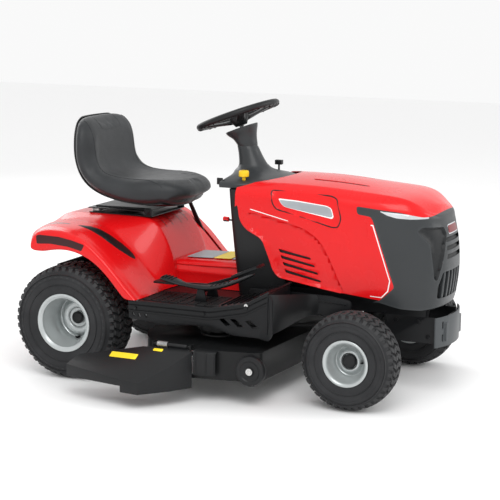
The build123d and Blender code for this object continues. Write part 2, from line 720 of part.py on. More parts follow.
def hood_form(inset):
    """The solid shape of the whole hood, drawn in by an inset all round but the bottom."""
    with BuildPart() as body:
        for x, half, shoulder, crease, crease_z, crown in HOOD_STATIONS:
            with BuildSketch(Plane(origin=(x, 0, 0), x_dir=(0, 1, 0), z_dir=(1, 0, 0))):
                with BuildLine():
                    Polyline(
                        (crease - inset, crease_z - inset),
                        (half - inset, shoulder - inset),
                        (half - inset, HOOD_FLOOR),
                        (inset - half, HOOD_FLOOR),
                        (inset - half, shoulder - inset),
                        (inset - crease, crease_z - inset),
                    )
                    ThreePointArc(
                        (inset - crease, crease_z - inset),
                        (0, crown - inset),
                        (crease - inset, crease_z - inset),
                    )
                make_face()
        loft(ruled=True)
        nose = [(x - inset, z) for x, z in NOSE_LINE]
        add(
            side_prism([(0, 900), (nose[0][0], 900)] + nose + [(nose[-1][0], 200), (0, 200)], -300, 300),
            mode=Mode.INTERSECT,
        )
        with BuildSketch(Plane.XY.offset(200)):
            with Locations((NOSE_X, 0)):
                Circle(NOSE_R - inset)
            with Locations((NOSE_X - 400, 0)):
                Rectangle(800, 600)
        extrude(amount=700, mode=Mode.INTERSECT)
    return body.part


def across(points):
    """A side outline carried right across the hood."""
    return side_prism(points, -300, 300)


# the whole hood skin: open at the rear, the bottom and round the console
with BuildPart() as hood_skin:
    add(hood_form(0))
    add(hood_form(HOOD_SKIN), mode=Mode.SUBTRACT)
    add(across([(51, 1000)] + HOOD_EDGE + [(900, 1000)]), mode=Mode.INTERSECT)
    add(rod((CONSOLE_X, 0, 690), (CONSOLE_X, 0, 1000), CONSOLE_R + 4), mode=Mode.SUBTRACT)
    louvres = [(226, 551, 354, 527), (243, 529, 371, 497), (247, 502, 384, 471), (256, 472, 397, 441)]
    for x0, z0, x1, z1 in louvres:
        add(across([(x0, z0), (x1, z1), (x1 - 8, z1 - 9), (x0 + 6, z0 - 11)]), mode=Mode.SUBTRACT)
GRILLE_SHAPE = across(GRILLE_LINE)
LENS_SHAPE = across([(627, 725), (795, 713), (798, 704), (645, 712)])

# grey nose grille with its hinge lugs
with BuildPart() as hood_grille:
    add(hood_skin.part)
    add(GRILLE_SHAPE, mode=Mode.INTERSECT)
    add(LENS_SHAPE, mode=Mode.SUBTRACT)
    for slot in range(-3, 4):
        add(block((780, slot * 19 - 5, 400), (900, slot * 19 + 5, 470)), mode=Mode.SUBTRACT)
    for z in (575, 602, 629):
        add(block((780, -55, z), (900, 55, z + 12)), mode=Mode.SUBTRACT)
    for side in SIDES.values():
        low_y, high_y = sorted((side * HOOD_LUG_Y, side * (HOOD_LUG_Y + 6)))
        lug = side_prism(
            [(798, 360), (808, 350), (824, 354), (846, 395), (850, 440), (836, 440), (800, 378)],
            low_y, high_y,
        )
        add(lug)
        add(
            rod(
                (HOOD_PIVOT[0], low_y - 1, HOOD_PIVOT[1]),
                (HOOD_PIVOT[0], high_y + 1, HOOD_PIVOT[1]),
                6 + FIT,
            ),
            mode=Mode.SUBTRACT,
        )
save("hood_grille", hood_grille.part)

# painted hood panel
with BuildPart() as hood_shell:
    add(hood_skin.part)
    add(GRILLE_SHAPE, mode=Mode.SUBTRACT)
save("hood_shell", hood_shell.part)

# headlight lenses
with BuildPart() as headlights:
    add(hood_skin.part)
    add(LENS_SHAPE, mode=Mode.INTERSECT)
save("headlights", headlights.part)

# ---------------------------------------------------------------- engine and drive
ENGINE_BASE = RAIL_TOP + SHEET
BLOCK_TOP = 540.0
# vertical-shaft twin: crankcase and two finned cylinders, bored for the crankshaft
with BuildPart() as engine_block:
    add(rod((CRANK_X, 0, ENGINE_BASE), (CRANK_X, 0, BLOCK_TOP), 118))
    for angle in (-42, 42):
        heading = Vector(cos(radians(angle)), sin(radians(angle)), 0)
        barrel = Vector(CRANK_X, 0, 470)
        add(rod(barrel + heading * 80, barrel + heading * 215, 46))
        for fin in range(6):
            add(rod(barrel + heading * (128 + fin * 14), barrel + heading * (133 + fin * 14), 60))
        add(rod(barrel + heading * 205, barrel + heading * 236, 56))
    add(
        rod((CRANK_X, 0, ENGINE_BASE - 1), (CRANK_X, 0, ENGINE_BASE + 40), CRANK_R + FIT),
        mode=Mode.SUBTRACT,
    )
save("engine_block", engine_block.part)

SHROUD_R = 166.0
SHROUD_TOP = 672.0
# blower housing over the flywheel: a cap with an intake ring of slots
with BuildPart() as engine_shroud:
    add(rod((CRANK_X, 0, BLOCK_TOP + 8), (CRANK_X, 0, SHROUD_TOP), SHROUD_R))
    fillet(engine_shroud.edges().group_by(Axis.Z)[-1], 26)
    add(rod((CRANK_X, 0, BLOCK_TOP), (CRANK_X, 0, SHROUD_TOP - SHEET), SHROUD_R - 26), mode=Mode.SUBTRACT)
    add(rod((CRANK_X, 0, BLOCK_TOP), (CRANK_X, 0, SHROUD_TOP - 30), SHROUD_R - SHEET), mode=Mode.SUBTRACT)
    with BuildSketch(Plane.XY.offset(SHROUD_TOP - 20)):
        with Locations((CRANK_X, 0)):
            with PolarLocations(72, 16):
                Rectangle(54, 7)
    extrude(amount=30, mode=Mode.SUBTRACT)
    for angle in range(45, 360, 90):
        heading = Vector(cos(radians(angle)), sin(radians(angle)), 0)
        foot = Vector(CRANK_X, 0, BLOCK_TOP) + heading * 106
        add(rod(foot, foot + Vector(0, 0, SHROUD_TOP - BLOCK_TOP - 30), 7))
        add(block((foot.X - 9, foot.Y - 9, SHROUD_TOP - 31), (foot.X + 9, foot.Y + 9, SHROUD_TOP - SHEET)))
save("engine_shroud", engine_shroud.part)

# muffler box with its outlet pipe
with BuildPart() as muffler:
    with BuildSketch(Plane.XY.offset(ENGINE_BASE + 8)):
        with Locations((732, 0)):
            RectangleRounded(84, 300, 30)
    extrude(amount=92)
    fillet(muffler.edges().group_by(Axis.Z)[-1], 12)
    for y in (-80, 80):
        add(block((700, y - 12, RAIL_TOP), (760, y + 12, ENGINE_BASE + 8)))
        add(block((680, y - 12, RAIL_TOP + SHEET), (700, y + 12, RAIL_TOP + 2 * SHEET)))
save("muffler", muffler.part)

# fuel tank on two feet, with its filler cap
TANK_LOW = 560.0
TANK_TOP = 700.0
with BuildPart() as fuel_tank:
    with BuildSketch(Plane.XY.offset(TANK_LOW)):
        with Locations((222, 0)):
            RectangleRounded(72, 360, 24)
    extrude(amount=TANK_TOP - TANK_LOW)
    with BuildSketch(Plane.XY.offset(TANK_LOW + 4)):
        with Locations((222, 0)):
            RectangleRounded(64, 352, 20)
    extrude(amount=TANK_TOP - TANK_LOW - 8, mode=Mode.SUBTRACT)
    for side in SIDES.values():
        low_y, high_y = sorted((side * 99, side * 124))
        add(block((210, low_y, RAIL_TOP), (234, high_y, TANK_LOW)))
    add(rod((222, 110, TANK_TOP + 0.2), (222, 110, TANK_TOP + 26), 34))
save("fuel_tank", fuel_tank.part)

# battery under the seat, with two terminal posts
with BuildPart() as battery:
    with BuildSketch(Plane.XY.offset(ENGINE_BASE)):
        with Locations((-480, 0)):
            RectangleRounded(130, 180, 6)
    extrude(amount=150)
    for y in (-62, 62):
        add(rod((-525, y, ENGINE_BASE + 149), (-525, y, ENGINE_BASE + 166), 8))
save("battery", battery.part)

TRANSAXLE_TOP = 288.0
PULLEY_SHAFT_R = 10.0
# transaxle: gear case with two axle tubes and an upright input
with BuildPart() as transaxle_case:
    with BuildSketch(Plane.XY.offset(160)):
        with Locations((-575, 0)):
            RectangleRounded(170, 190, 30)
    extrude(amount=TRANSAXLE_TOP - 160)
    for side in SIDES.values():
        add(rod((REAR_X, side * 80, REAR_TYRE_R), (REAR_X, side * 250, REAR_TYRE_R), 24))
        low_y, high_y = sorted((side * 99, side * 123))
        add(block((REAR_X - 26, low_y, REAR_TYRE_R), (REAR_X + 26, high_y, RAIL_BOTTOM)))
        add(
            rod((REAR_X, side * 116, REAR_TYRE_R), (REAR_X, side * 251, REAR_TYRE_R), SHAFT_BORE),
            mode=Mode.SUBTRACT,
        )
    add(
        rod((TRANSAXLE_PULLEY_X, 0, 250), (TRANSAXLE_PULLEY_X, 0, 300), PULLEY_SHAFT_R + FIT),
        mode=Mode.SUBTRACT,
    )
save("transaxle_case", transaxle_case.part)


def grooved_pulley(x, y, groove, low, high):
    """A pulley: a grooved disc with a flange above and below the belt."""
    with BuildPart() as body:
        add(rod((x, y, low), (x, y, high), groove))
        add(rod((x, y, low), (x, y, low + 3), groove + 8))
        add(rod((x, y, high - 3), (x, y, high), groove + 8))
    return body.part


ENGINE_GROOVE = 38.0
DECK_GROOVE = 50.0
TRANSAXLE_GROOVE = 60.0
SPINDLE_GROOVE = 58.0
BELT_GAP = 0.4
BELT_DEPTH = 7.0
# crankshaft end with its drive pulley above and deck pulley below
with BuildPart() as engine_pulley:
    add(rod((CRANK_X, 0, DECK_BELT_Z - 6), (CRANK_X, 0, ENGINE_BASE + 36), CRANK_R))
    add(grooved_pulley(CRANK_X, 0, ENGINE_GROOVE, DRIVE_BELT_Z - 4, DRIVE_BELT_Z + BELT_HEIGHT + 4))
    add(grooved_pulley(CRANK_X, 0, DECK_GROOVE, DECK_BELT_Z - 4, DECK_BELT_Z + BELT_HEIGHT + 4))
save("engine_pulley", engine_pulley.part)

# transaxle input shaft and pulley
with BuildPart() as transaxle_pulley:
    add(rod((TRANSAXLE_PULLEY_X, 0, 252), (TRANSAXLE_PULLEY_X, 0, 318), PULLEY_SHAFT_R))
    add(
        grooved_pulley(
            TRANSAXLE_PULLEY_X, 0, TRANSAXLE_GROOVE, DRIVE_BELT_Z - 4, DRIVE_BELT_Z + BELT_HEIGHT + 4
        )
    )
save("transaxle_pulley", transaxle_pulley.part)


def belt(pulleys, low):
    """A belt lying taut round a set of pulleys, each given as x, y and groove radius."""
    inner = [(x, y, r + BELT_GAP) for x, y, r in pulleys]
    outer = [(x, y, r + BELT_GAP + BELT_DEPTH) for x, y, r in pulleys]
    with BuildPart() as body:
        add(hull_plate(outer, low, low + BELT_HEIGHT))
        add(hull_plate(inner, low - 1, low + BELT_HEIGHT + 1), mode=Mode.SUBTRACT)
    return body.part


# drive belt from the engine to the transaxle
with BuildPart() as drive_belt:
    add(
        belt(
            [(CRANK_X, 0, ENGINE_GROOVE), (TRANSAXLE_PULLEY_X, 0, TRANSAXLE_GROOVE)], DRIVE_BELT_Z
        )
    )
save("drive_belt", drive_belt.part)

# ---------------------------------------------------------------- cutting deck
DECK_CORNERS = [(225, -470, 45), (225, 470, 45)]
LOBES = [(*BLADE_RIGHT, DECK_WALL_R), (*BLADE_LEFT, DECK_WALL_R)]
CORNER_IN = [(x, y, r - 3) for x, y, r in DECK_CORNERS]
LOBES_IN = [(x, y, r - 3) for x, y, r in LOBES]
EAR_INNER = (-146.0, 10.0)
# deck shell: top plate, skirt, spindle housings, hangers, wheel brackets and chute hinge
with BuildPart() as deck_shell:
    add(hull_plate(LOBES + DECK_CORNERS, DECK_BOTTOM, DECK_TOP))
    add(hull_plate(LOBES_IN + CORNER_IN, DECK_BOTTOM - 1, DECK_TOP - 3), mode=Mode.SUBTRACT)
    add(block((-170, -620, DECK_BOTTOM + 14), (90, -460, DECK_TOP - 6)), mode=Mode.SUBTRACT)
    for x, y in (BLADE_RIGHT, BLADE_LEFT):
        add(rod((x, y, 160), (x, y, 228), 28))
        add(rod((x, y, DECK_TOP - 6), (x, y, DECK_TOP + 6), 70))
        add(rod((x, y, 150), (x, y, 240), SPINDLE_R + FIT), mode=Mode.SUBTRACT)
    for side in SIDES.values():
        low_y, high_y = sorted((side * (LIFT_ARM_Y - 8), side * (LIFT_ARM_Y - 3)))
        add(block((-168, low_y, DECK_TOP - 1), (-122, high_y, 300)))
        add(
            block((-161, low_y - 1, ROCKSHAFT_Z - 7), (-131, high_y + 1, ROCKSHAFT_Z + 7)),
            mode=Mode.SUBTRACT,
        )
        low_y, high_y = sorted((side * 514, side * 519))
        bracket = [(190, 110), (262, 124), (266, 160), (236, 178), (190, 178)]
        add(side_prism(bracket, low_y, high_y))
        add(rod((SCALP_X, side * 516, SCALP_Z), (SCALP_X, side * 562, SCALP_Z), 6))
        add(rod((SCALP_X, side * 558, SCALP_Z), (SCALP_X, side * 564, SCALP_Z), 11))
    for x in EAR_INNER:
        add(block((x, -566, 198), (x + 4, -530, 220)))
    add(
        rod(
            (EAR_INNER[0], CHUTE_HINGE_Y, CHUTE_HINGE_Z),
            (EAR_INNER[1] + 4, CHUTE_HINGE_Y, CHUTE_HINGE_Z),
            4,
        )
    )
save("deck_shell", deck_shell.part)

# deck belt round the engine pulley and both spindles
with BuildPart() as deck_belt:
    add(
        belt(
            [
                (CRANK_X, 0, DECK_GROOVE),
                (*BLADE_RIGHT, SPINDLE_GROOVE),
                (*BLADE_LEFT, SPINDLE_GROOVE),
            ],
            DECK_BELT_Z,
        )
    )
save("deck_belt", deck_belt.part)

COVER_R = 84.0
COVER_TOP = 264.0
# covers over the outer half of each spindle pulley
with BuildPart() as belt_covers:
    for x, y in (BLADE_RIGHT, BLADE_LEFT):
        side = 1 if y > 0 else -1
        add(rod((x, y, DECK_TOP), (x, y, COVER_TOP), COVER_R))
        add(rod((x, y, DECK_TOP - 1), (x, y, COVER_TOP - 3), COVER_R - 3), mode=Mode.SUBTRACT)
        low_y, high_y = sorted((side * 100, side * 304))
        add(block((x - 100, low_y, DECK_TOP - 1), (x + 100, high_y, COVER_TOP - 3)), mode=Mode.SUBTRACT)
save("belt_covers", belt_covers.part)

# blades, each on its spindle with its pulley
for name, (x, y), across_deck in (("right", BLADE_RIGHT, False), ("left", BLADE_LEFT, True)):
    half_x, half_y = (30, BLADE_R - 3) if across_deck else (BLADE_R - 3, 30)
    with BuildPart() as blade:
        add(block((x - half_x, y - half_y, 103), (x + half_x, y + half_y, 108)))
        add(rod((x, y, 96), (x, y, 256), SPINDLE_R))
        add(rod((x, y, 108), (x, y, 150), 24))
        add(grooved_pulley(x, y, SPINDLE_GROOVE, DECK_BELT_Z - 4, DECK_BELT_Z + BELT_HEIGHT + 4))
    save(f"blade_{name}", blade.part)

# anti-scalp wheels
for name, side in SIDES.items():
    wheel = [(6 + FIT, -17), (14, -17), (18, -12), (38, -12), (44, -16), (SCALP_R, -10)]
    wheel += [(r, -y) for r, y in reversed(wheel)]
    with BuildPart() as scalp_wheel:
        add(turned((SCALP_X, side * SCALP_Y, SCALP_Z), wheel))
    save(f"scalp_wheel_{name}", scalp_wheel.part)

CHUTE_PLAN = [
    (-138, -562), (6, -562), (6, -570), (24, -574), (-30, -660), (-112, -752), (-207, -742),
    (-440, -702), (-420, -650), (-180, -574), (-138, -570),
]
CHUTE_SLOPE = 28.0
CHUTE_WALL = 4.0


def chute_form(inset):
    """The deflector's solid shape: a plan outline under a top that slopes outwards."""
    top = Plane(
        origin=(0, CHUTE_HINGE_Y, CHUTE_HINGE_Z - 6 - inset),
        x_dir=(1, 0, 0),
        z_dir=(0, -sin(radians(CHUTE_SLOPE)), cos(radians(CHUTE_SLOPE))),
    )
    with BuildPart() as body:
        with BuildSketch(Plane.XY.offset(60)):
            with BuildLine():
                Polyline(*CHUTE_PLAN, close=True)
            make_face()
            if inset:
                offset(amount=-inset, kind=Kind.INTERSECTION)
        extrude(amount=200)
        split(bisect_by=top, keep=Keep.BOTTOM)
    return body.part


# discharge chute: sloping top with a wall round its front and outer edges
with BuildPart() as discharge_chute:
    add(chute_form(0))
    add(chute_form(CHUTE_WALL), mode=Mode.SUBTRACT)
    add(block((-480, -600, 55), (-20, -540, 176)), mode=Mode.SUBTRACT)
    add(block((-500, -690, 50), (-200, -540, 112)), mode=Mode.SUBTRACT)
    add(block((-500, -760, 50), (-190, -540, 84)), mode=Mode.SUBTRACT)
    add(rod((-132, CHUTE_HINGE_Y, CHUTE_HINGE_Z), (-2, CHUTE_HINGE_Y, CHUTE_HINGE_Z), 8))
    add(
        rod((-135, CHUTE_HINGE_Y, CHUTE_HINGE_Z), (2, CHUTE_HINGE_Y, CHUTE_HINGE_Z), 4 + FIT),
        mode=Mode.SUBTRACT,
    )
    add(block((-500, -556, 50), (100, -500, 230)), mode=Mode.SUBTRACT)
save("discharge_chute", discharge_chute.part)

LEVER_TOP = (-490.0, LIFT_LEVER_Y, 690.0)
# lift lever: cross shaft, two lift arms with pins, and the hand lever
with BuildPart() as lift_lever:
    add(
        rod(
            (ROCKSHAFT_X, -(LIFT_ARM_Y + 6), ROCKSHAFT_Z),
            (ROCKSHAFT_X, LIFT_LEVER_Y + 6, ROCKSHAFT_Z),
            9,
        )
    )
    for side in SIDES.values():
        low_y, high_y = sorted((side * LIFT_ARM_Y, side * (LIFT_ARM_Y + 6)))
        end_x = ROCKSHAFT_X + LIFT_ARM
        add(block((ROCKSHAFT_X, low_y, ROCKSHAFT_Z - 12), (end_x + 10, high_y, ROCKSHAFT_Z + 12)))
        add(
            rod((end_x, side * (LIFT_ARM_Y - 12), ROCKSHAFT_Z), (end_x, side * LIFT_ARM_Y, ROCKSHAFT_Z), 5)
        )
    add(
        side_prism(
            [
                (ROCKSHAFT_X - 16, ROCKSHAFT_Z - 6),
                (ROCKSHAFT_X + 10, ROCKSHAFT_Z + 8),
                (-474, 650),
                (-486, 645),
            ],
            LIFT_LEVER_Y - 4,
            LIFT_LEVER_Y + 4,
        )
    )
    add(rod((-468, LIFT_LEVER_Y, 628), LEVER_TOP, 13))
save("lift_lever", lift_lever.part)

# ---------------------------------------------------------------- seat
BASE_TOP = PEDESTAL_HIGH + SKIN
PLATE_LOW = 637.0
PLATE_HIGH = 641.0
LUG_Y = 150.0
# seat base on the pedestal, with the two hinge pins
with BuildPart() as seat_base:
    add(block((-650, -LUG_Y, PEDESTAL_HIGH), (-362, LUG_Y, BASE_TOP)))
    for side in SIDES.values():
        low_y, high_y = sorted((side * (LUG_Y - 4), side * LUG_Y))
        lug = [(-395, PEDESTAL_HIGH), (-362, PEDESTAL_HIGH), (-362, 648), (-368, 652), (-388, 652)]
        add(side_prism(lug, low_y, high_y))
        low_y, high_y = sorted((side * (LUG_Y - 14), side * (LUG_Y + 4)))
        add(rod((SEAT_PIVOT[0], low_y, SEAT_PIVOT[1]), (SEAT_PIVOT[0], high_y, SEAT_PIVOT[1]), 5))
save("seat_base", seat_base.part)

# seat plate that tilts on the base, with two slide rails
with BuildPart() as seat_bracket:
    add(block((-660, -140, PLATE_LOW), (-390, 140, PLATE_HIGH)))
    for side in SIDES.values():
        low_y, high_y = sorted((side * (LUG_Y - 12), side * (LUG_Y - 7)))
        add(block((-400, low_y, 630), (-364, high_y, 650)))
        add(
            rod(
                (SEAT_PIVOT[0], low_y - 1, SEAT_PIVOT[1]),
                (SEAT_PIVOT[0], high_y + 1, SEAT_PIVOT[1]),
                5 + FIT,
            ),
            mode=Mode.SUBTRACT,
        )
        low_y, high_y = sorted((side * 92, side * 112))
        add(block((-640, low_y, PLATE_HIGH), (-395, high_y, PLATE_HIGH + 6)))
save("seat_bracket", seat_bracket.part)

SPRING_R = 21.0
WIRE_R = 1.9
# two conical seat springs under the plate
with BuildPart() as seat_springs:
    for side in SIDES.values():
        with BuildLine() as coil:
            Helix(pitch=4.2, height=8.6, radius=SPRING_R, center=(-628, side * 118, BASE_TOP + 2.2))
        with BuildSketch(Plane(origin=coil.line @ 0, z_dir=coil.line % 0)):
            Circle(WIRE_R)
        sweep(path=coil.line, is_frenet=True)
save("seat_springs", seat_springs.part)

SEAT_HALF = 240.0
SHELL_THICK = 5.0
SEAT_BACK_LINE = [
    (-690, 1019), (-725, 1008), (-738, 980), (-735, 900), (-725, 840), (-705, 775), (-670, 720),
    (-620, 688), (-540, 668), (-422, 657), (-330, 655), (-240, 672), (-200, 695),
]
SEAT_FRONT_LINE = [
    (-203, 735), (-215, 760), (-240, 771), (-355, 779), (-480, 765), (-560, 772), (-595, 795),
    (-612, 835), (-618, 880), (-618, 930), (-625, 975), (-650, 1005),
]


def seat_form(shift_x, shift_z, half):
    """The seat outline from the side, shifted, carried across and rounded in plan and front view."""
    outline = [(x + shift_x, z + shift_z) for x, z in SEAT_BACK_LINE + SEAT_FRONT_LINE]
    with BuildPart() as body:
        add(side_prism(outline, -half, half))
        with BuildSketch(Plane.XY.offset(500)):
            with Locations((-500, 0)):
                RectangleRounded(660, 2 * half, 110)
        extrude(amount=700, mode=Mode.INTERSECT)
        with BuildSketch(Plane.YZ.offset(-900)):
            with BuildLine():
                Polyline(
                    (-170, 560), (-190, 655), (-half + 20, 720), (-half, 780), (-half, 940),
                    (-half + 60, 1060), (half - 60, 1060), (half, 940), (half, 780), (half - 20, 720),
                    (190, 655), (170, 560),
                    close=True,
                )
            make_face()
        extrude(amount=900, mode=Mode.INTERSECT)
    return body.part


# moulded seat pan and back shell
with BuildPart() as seat_shell:
    add(seat_form(0, 0, SEAT_HALF))
    add(seat_form(SHELL_THICK, SHELL_THICK, SEAT_HALF + 10), mode=Mode.SUBTRACT)
    for side in SIDES.values():
        low_y, high_y = sorted((side * 90, side * 114))
        add(block((-600, low_y, PLATE_HIGH + 6.3), (-410, high_y, 662)))
    add(seat_form(SHELL_THICK, SHELL_THICK, SEAT_HALF + 10), mode=Mode.SUBTRACT)
save("seat_shell", seat_shell.part)

# upholstered cushion, seat and back in one
with BuildPart() as seat_cushion:
    add(seat_form(0, 0, SEAT_HALF))
    add(seat_form(SHELL_THICK + 0.5, SHELL_THICK + 0.5, SEAT_HALF + 10), mode=Mode.INTERSECT)
save("seat_cushion", seat_cushion.part)

# ---------------------------------------------------------------- controls
PEDAL_X = -30.0
PEDAL_Z = 392.0
PEDAL_Y = -330.0
# drive pedal: a fore-and-aft rocker with a rear heel pad and a front toe pad
with BuildPart() as drive_pedal:
    add(rod((PEDAL_X, PEDAL_Y - 40, PEDAL_Z), (PEDAL_X, PEDAL_Y + 40, PEDAL_Z), 12))
    add(rod((PEDAL_X, PEDAL_Y - 41, PEDAL_Z), (PEDAL_X, PEDAL_Y + 41, PEDAL_Z), 8 + FIT), mode=Mode.SUBTRACT)
    arm = [
        (-235, 398), (-160, 396), (PEDAL_X - 8, 401), (PEDAL_X + 10, 400), (80, 436), (196, 490),
        (192, 497), (76, 446), (PEDAL_X, 410), (-160, 404), (-235, 406),
    ]
    add(side_prism(arm, PEDAL_Y - 5, PEDAL_Y + 5))
    add(block((-242, PEDAL_Y - 38, 400), (-155, PEDAL_Y + 38, 408)))
    toe = [(92, 448), (196, 494), (192, 503), (88, 457)]
    add(side_prism(toe, PEDAL_Y - 38, PEDAL_Y + 38))
save("drive_pedal", drive_pedal.part)

# brake pedal on the left: cross tube, arm and ribbed pad
BRAKE_X = 60.0
BRAKE_Z = 392.0
with BuildPart() as brake_pedal:
    add(rod((BRAKE_X, 270, BRAKE_Z), (BRAKE_X, 350, BRAKE_Z), 12))
    add(rod((BRAKE_X, 269, BRAKE_Z), (BRAKE_X, 351, BRAKE_Z), 8 + FIT), mode=Mode.SUBTRACT)
    arm = [(BRAKE_X - 8, 402), (BRAKE_X + 8, 402), (128, 470), (122, 476)]
    add(side_prism(arm, 306, 314))
    add(side_prism([(112, 462), (160, 490), (156, 498), (108, 470)], 260, 360))
save("brake_pedal", brake_pedal.part)

# parking brake lever with its tip
with BuildPart() as park_lever:
    add(rod((LEVER_PIVOT[0], PARK_Y - 5, LEVER_PIVOT[1]), (LEVER_PIVOT[0], PARK_Y + 5, LEVER_PIVOT[1]), 9))
    add(block((-8, PARK_Y - 3, 637), (28, PARK_Y + 3, 643)))
    add(block((-26, PARK_Y - 9, 634), (-8, PARK_Y + 9, 647)))
    add(
        rod(
            (LEVER_PIVOT[0], PARK_Y - 6, LEVER_PIVOT[1]),
            (LEVER_PIVOT[0], PARK_Y + 6, LEVER_PIVOT[1]),
            4 + FIT,
        ),
        mode=Mode.SUBTRACT,
    )
save("park_lever", park_lever.part)

# ignition key: round barrel, blade and a flat bow
with BuildPart() as ignition_key:
    add(rod((-44, KEY_Y, KEY_Z), (4, KEY_Y, KEY_Z), 6))
    add(block((-72, KEY_Y - 4, KEY_Z - 13), (-49, KEY_Y + 4, KEY_Z + 13)))
    add(block((-50, KEY_Y - 2, KEY_Z - 5), (-43, KEY_Y + 2, KEY_Z + 5)))
save("ignition_key", ignition_key.part)

# blade engagement knob
with BuildPart() as pto_knob:
    add(rod((PTO_PLACE[0], PTO_PLACE[1], 778), (PTO_PLACE[0], PTO_PLACE[1], 822), 7))
    add(rod((PTO_PLACE[0], PTO_PLACE[1], 814), (PTO_PLACE[0], PTO_PLACE[1], 838), 20))
    chamfer(pto_knob.edges().group_by(Axis.Z)[-1], 4)
save("pto_knob", pto_knob.part)

# throttle lever with its knob
with BuildPart() as throttle_lever:
    x, y, z = THROTTLE_PIVOT
    add(block((x - 3, y - 3, z), (x + 3, y + 3, z + 58)))
    add(rod((x, y - 12, z), (x, y + 12, z), 5))
    add(block((x - 14, y - 11, z + 56), (x + 14, y + 11, z + 74)))
save("throttle_lever", throttle_lever.part)

# ---------------------------------------------------------------- fasteners and pedal stands
BOLT_HEIGHT = 5.0
# bolt heads on the skirts and fork, and the pins that carry the pedals and the brake lever
with BuildPart() as body_bolts:
    for side in SIDES.values():
        skirt_face = side * BOARD_EDGE
        for x, z in ((197, 362), (-270, 318), (20, 322)):
            add(rod((x, skirt_face, z), (x, skirt_face + side * BOLT_HEIGHT, z), 8))
        fork_face = side * FORK_Y
        for x, z in ((672, 296), (760, 296), (800, 240)):
            add(rod((x, fork_face, z), (x, fork_face + side * BOLT_HEIGHT, z), 8))
    for x, y_low, y_high in ((PEDAL_X, PEDAL_Y - 56, PEDAL_Y + 56), (BRAKE_X, 258, 362)):
        add(rod((x, y_low, PEDAL_Z), (x, y_high, PEDAL_Z), 8))
        for y in (y_low, y_high - 6):
            foot = [(x - 26, BOARD_TOP), (x + 26, BOARD_TOP), (x + 12, PEDAL_Z + 10), (x - 12, PEDAL_Z + 10)]
            if x > 49:
                foot = [(x - 26, 350), (x + 26, 362), (x + 12, PEDAL_Z + 10), (x - 12, PEDAL_Z + 10)]
            add(side_prism(foot, y, y + 6))
    add(
        rod(
            (LEVER_PIVOT[0], PARK_Y - 30, LEVER_PIVOT[1]),
            (LEVER_PIVOT[0], PARK_Y + 10, LEVER_PIVOT[1]),
            4,
        )
    )
    add(frame_rails.part, mode=Mode.SUBTRACT)
    add(dash_cover.part, mode=Mode.SUBTRACT)
    add(footboard.part, mode=Mode.SUBTRACT)
save("body_bolts", body_bolts.part)
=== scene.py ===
"""Looks for the riding lawn mower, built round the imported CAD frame.

Everything is in metres in the part's frame: +X forward, +Y to the operator's left,
+Z up, origin on the ground midway between the axles. Shape tables are in millimetres.
"""
import bpy
import bmesh
from math import cos, pi, radians, sin
from mathutils import Matrix, Vector
from mathutils.bvhtree import BVHTree


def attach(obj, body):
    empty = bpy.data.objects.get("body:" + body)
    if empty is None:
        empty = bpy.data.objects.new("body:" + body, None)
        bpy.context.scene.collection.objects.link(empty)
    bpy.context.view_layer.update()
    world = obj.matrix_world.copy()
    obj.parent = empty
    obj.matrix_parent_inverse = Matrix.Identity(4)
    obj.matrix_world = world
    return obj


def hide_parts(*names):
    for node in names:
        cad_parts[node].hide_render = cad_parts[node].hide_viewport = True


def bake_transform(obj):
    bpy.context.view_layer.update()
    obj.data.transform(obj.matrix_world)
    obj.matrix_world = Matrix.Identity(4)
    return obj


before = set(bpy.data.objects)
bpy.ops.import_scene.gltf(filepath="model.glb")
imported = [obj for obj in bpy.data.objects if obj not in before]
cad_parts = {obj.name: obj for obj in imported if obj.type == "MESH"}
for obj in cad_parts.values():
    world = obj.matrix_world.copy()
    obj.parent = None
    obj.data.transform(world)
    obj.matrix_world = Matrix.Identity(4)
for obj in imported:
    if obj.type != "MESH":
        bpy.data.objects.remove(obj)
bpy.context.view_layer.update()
MM = 0.001
SIDES = {"right": -1, "left": 1}


# ---------------------------------------------------------------- camera, light and floor
CAMERA_PLACE = Vector((2.415, -5.547, 1.573))
CAMERA_ROLL = 0.0113514
CAMERA_LENS = 109.38
SENSOR = 36.0
CAMERA_SHIFT = (-0.0034, -0.0036)


def add_camera():
    """The camera looks from the right front, a little above the hood."""
    back = Vector((0.39110, -0.90361, 0.17477)).normalized()
    level = Vector((-back.y, back.x, 0)).normalized()
    upright = back.cross(level)
    right = cos(CAMERA_ROLL) * level + sin(CAMERA_ROLL) * upright
    up = cos(CAMERA_ROLL) * upright - sin(CAMERA_ROLL) * level
    data = bpy.data.cameras.new("camera")
    data.lens = CAMERA_LENS
    data.sensor_width = SENSOR
    data.shift_x, data.shift_y = CAMERA_SHIFT
    camera = bpy.data.objects.new("camera", data)
    turn = Matrix((right, up, back)).transposed().to_4x4()
    camera.matrix_world = Matrix.Translation(CAMERA_PLACE) @ turn
    bpy.context.collection.objects.link(camera)
    bpy.context.scene.camera = camera


def add_area_light(name, place, target, size, power):
    """A square soft light at a place, facing a target."""
    data = bpy.data.lights.new(name, "AREA")
    data.shape = "RECTANGLE"
    data.size, data.size_y = size
    data.energy = power
    lamp = bpy.data.objects.new(name, data)
    lamp.location = place
    lamp.rotation_euler = (Vector(target) - Vector(place)).to_track_quat("-Z", "Y").to_euler()
    bpy.context.collection.objects.link(lamp)


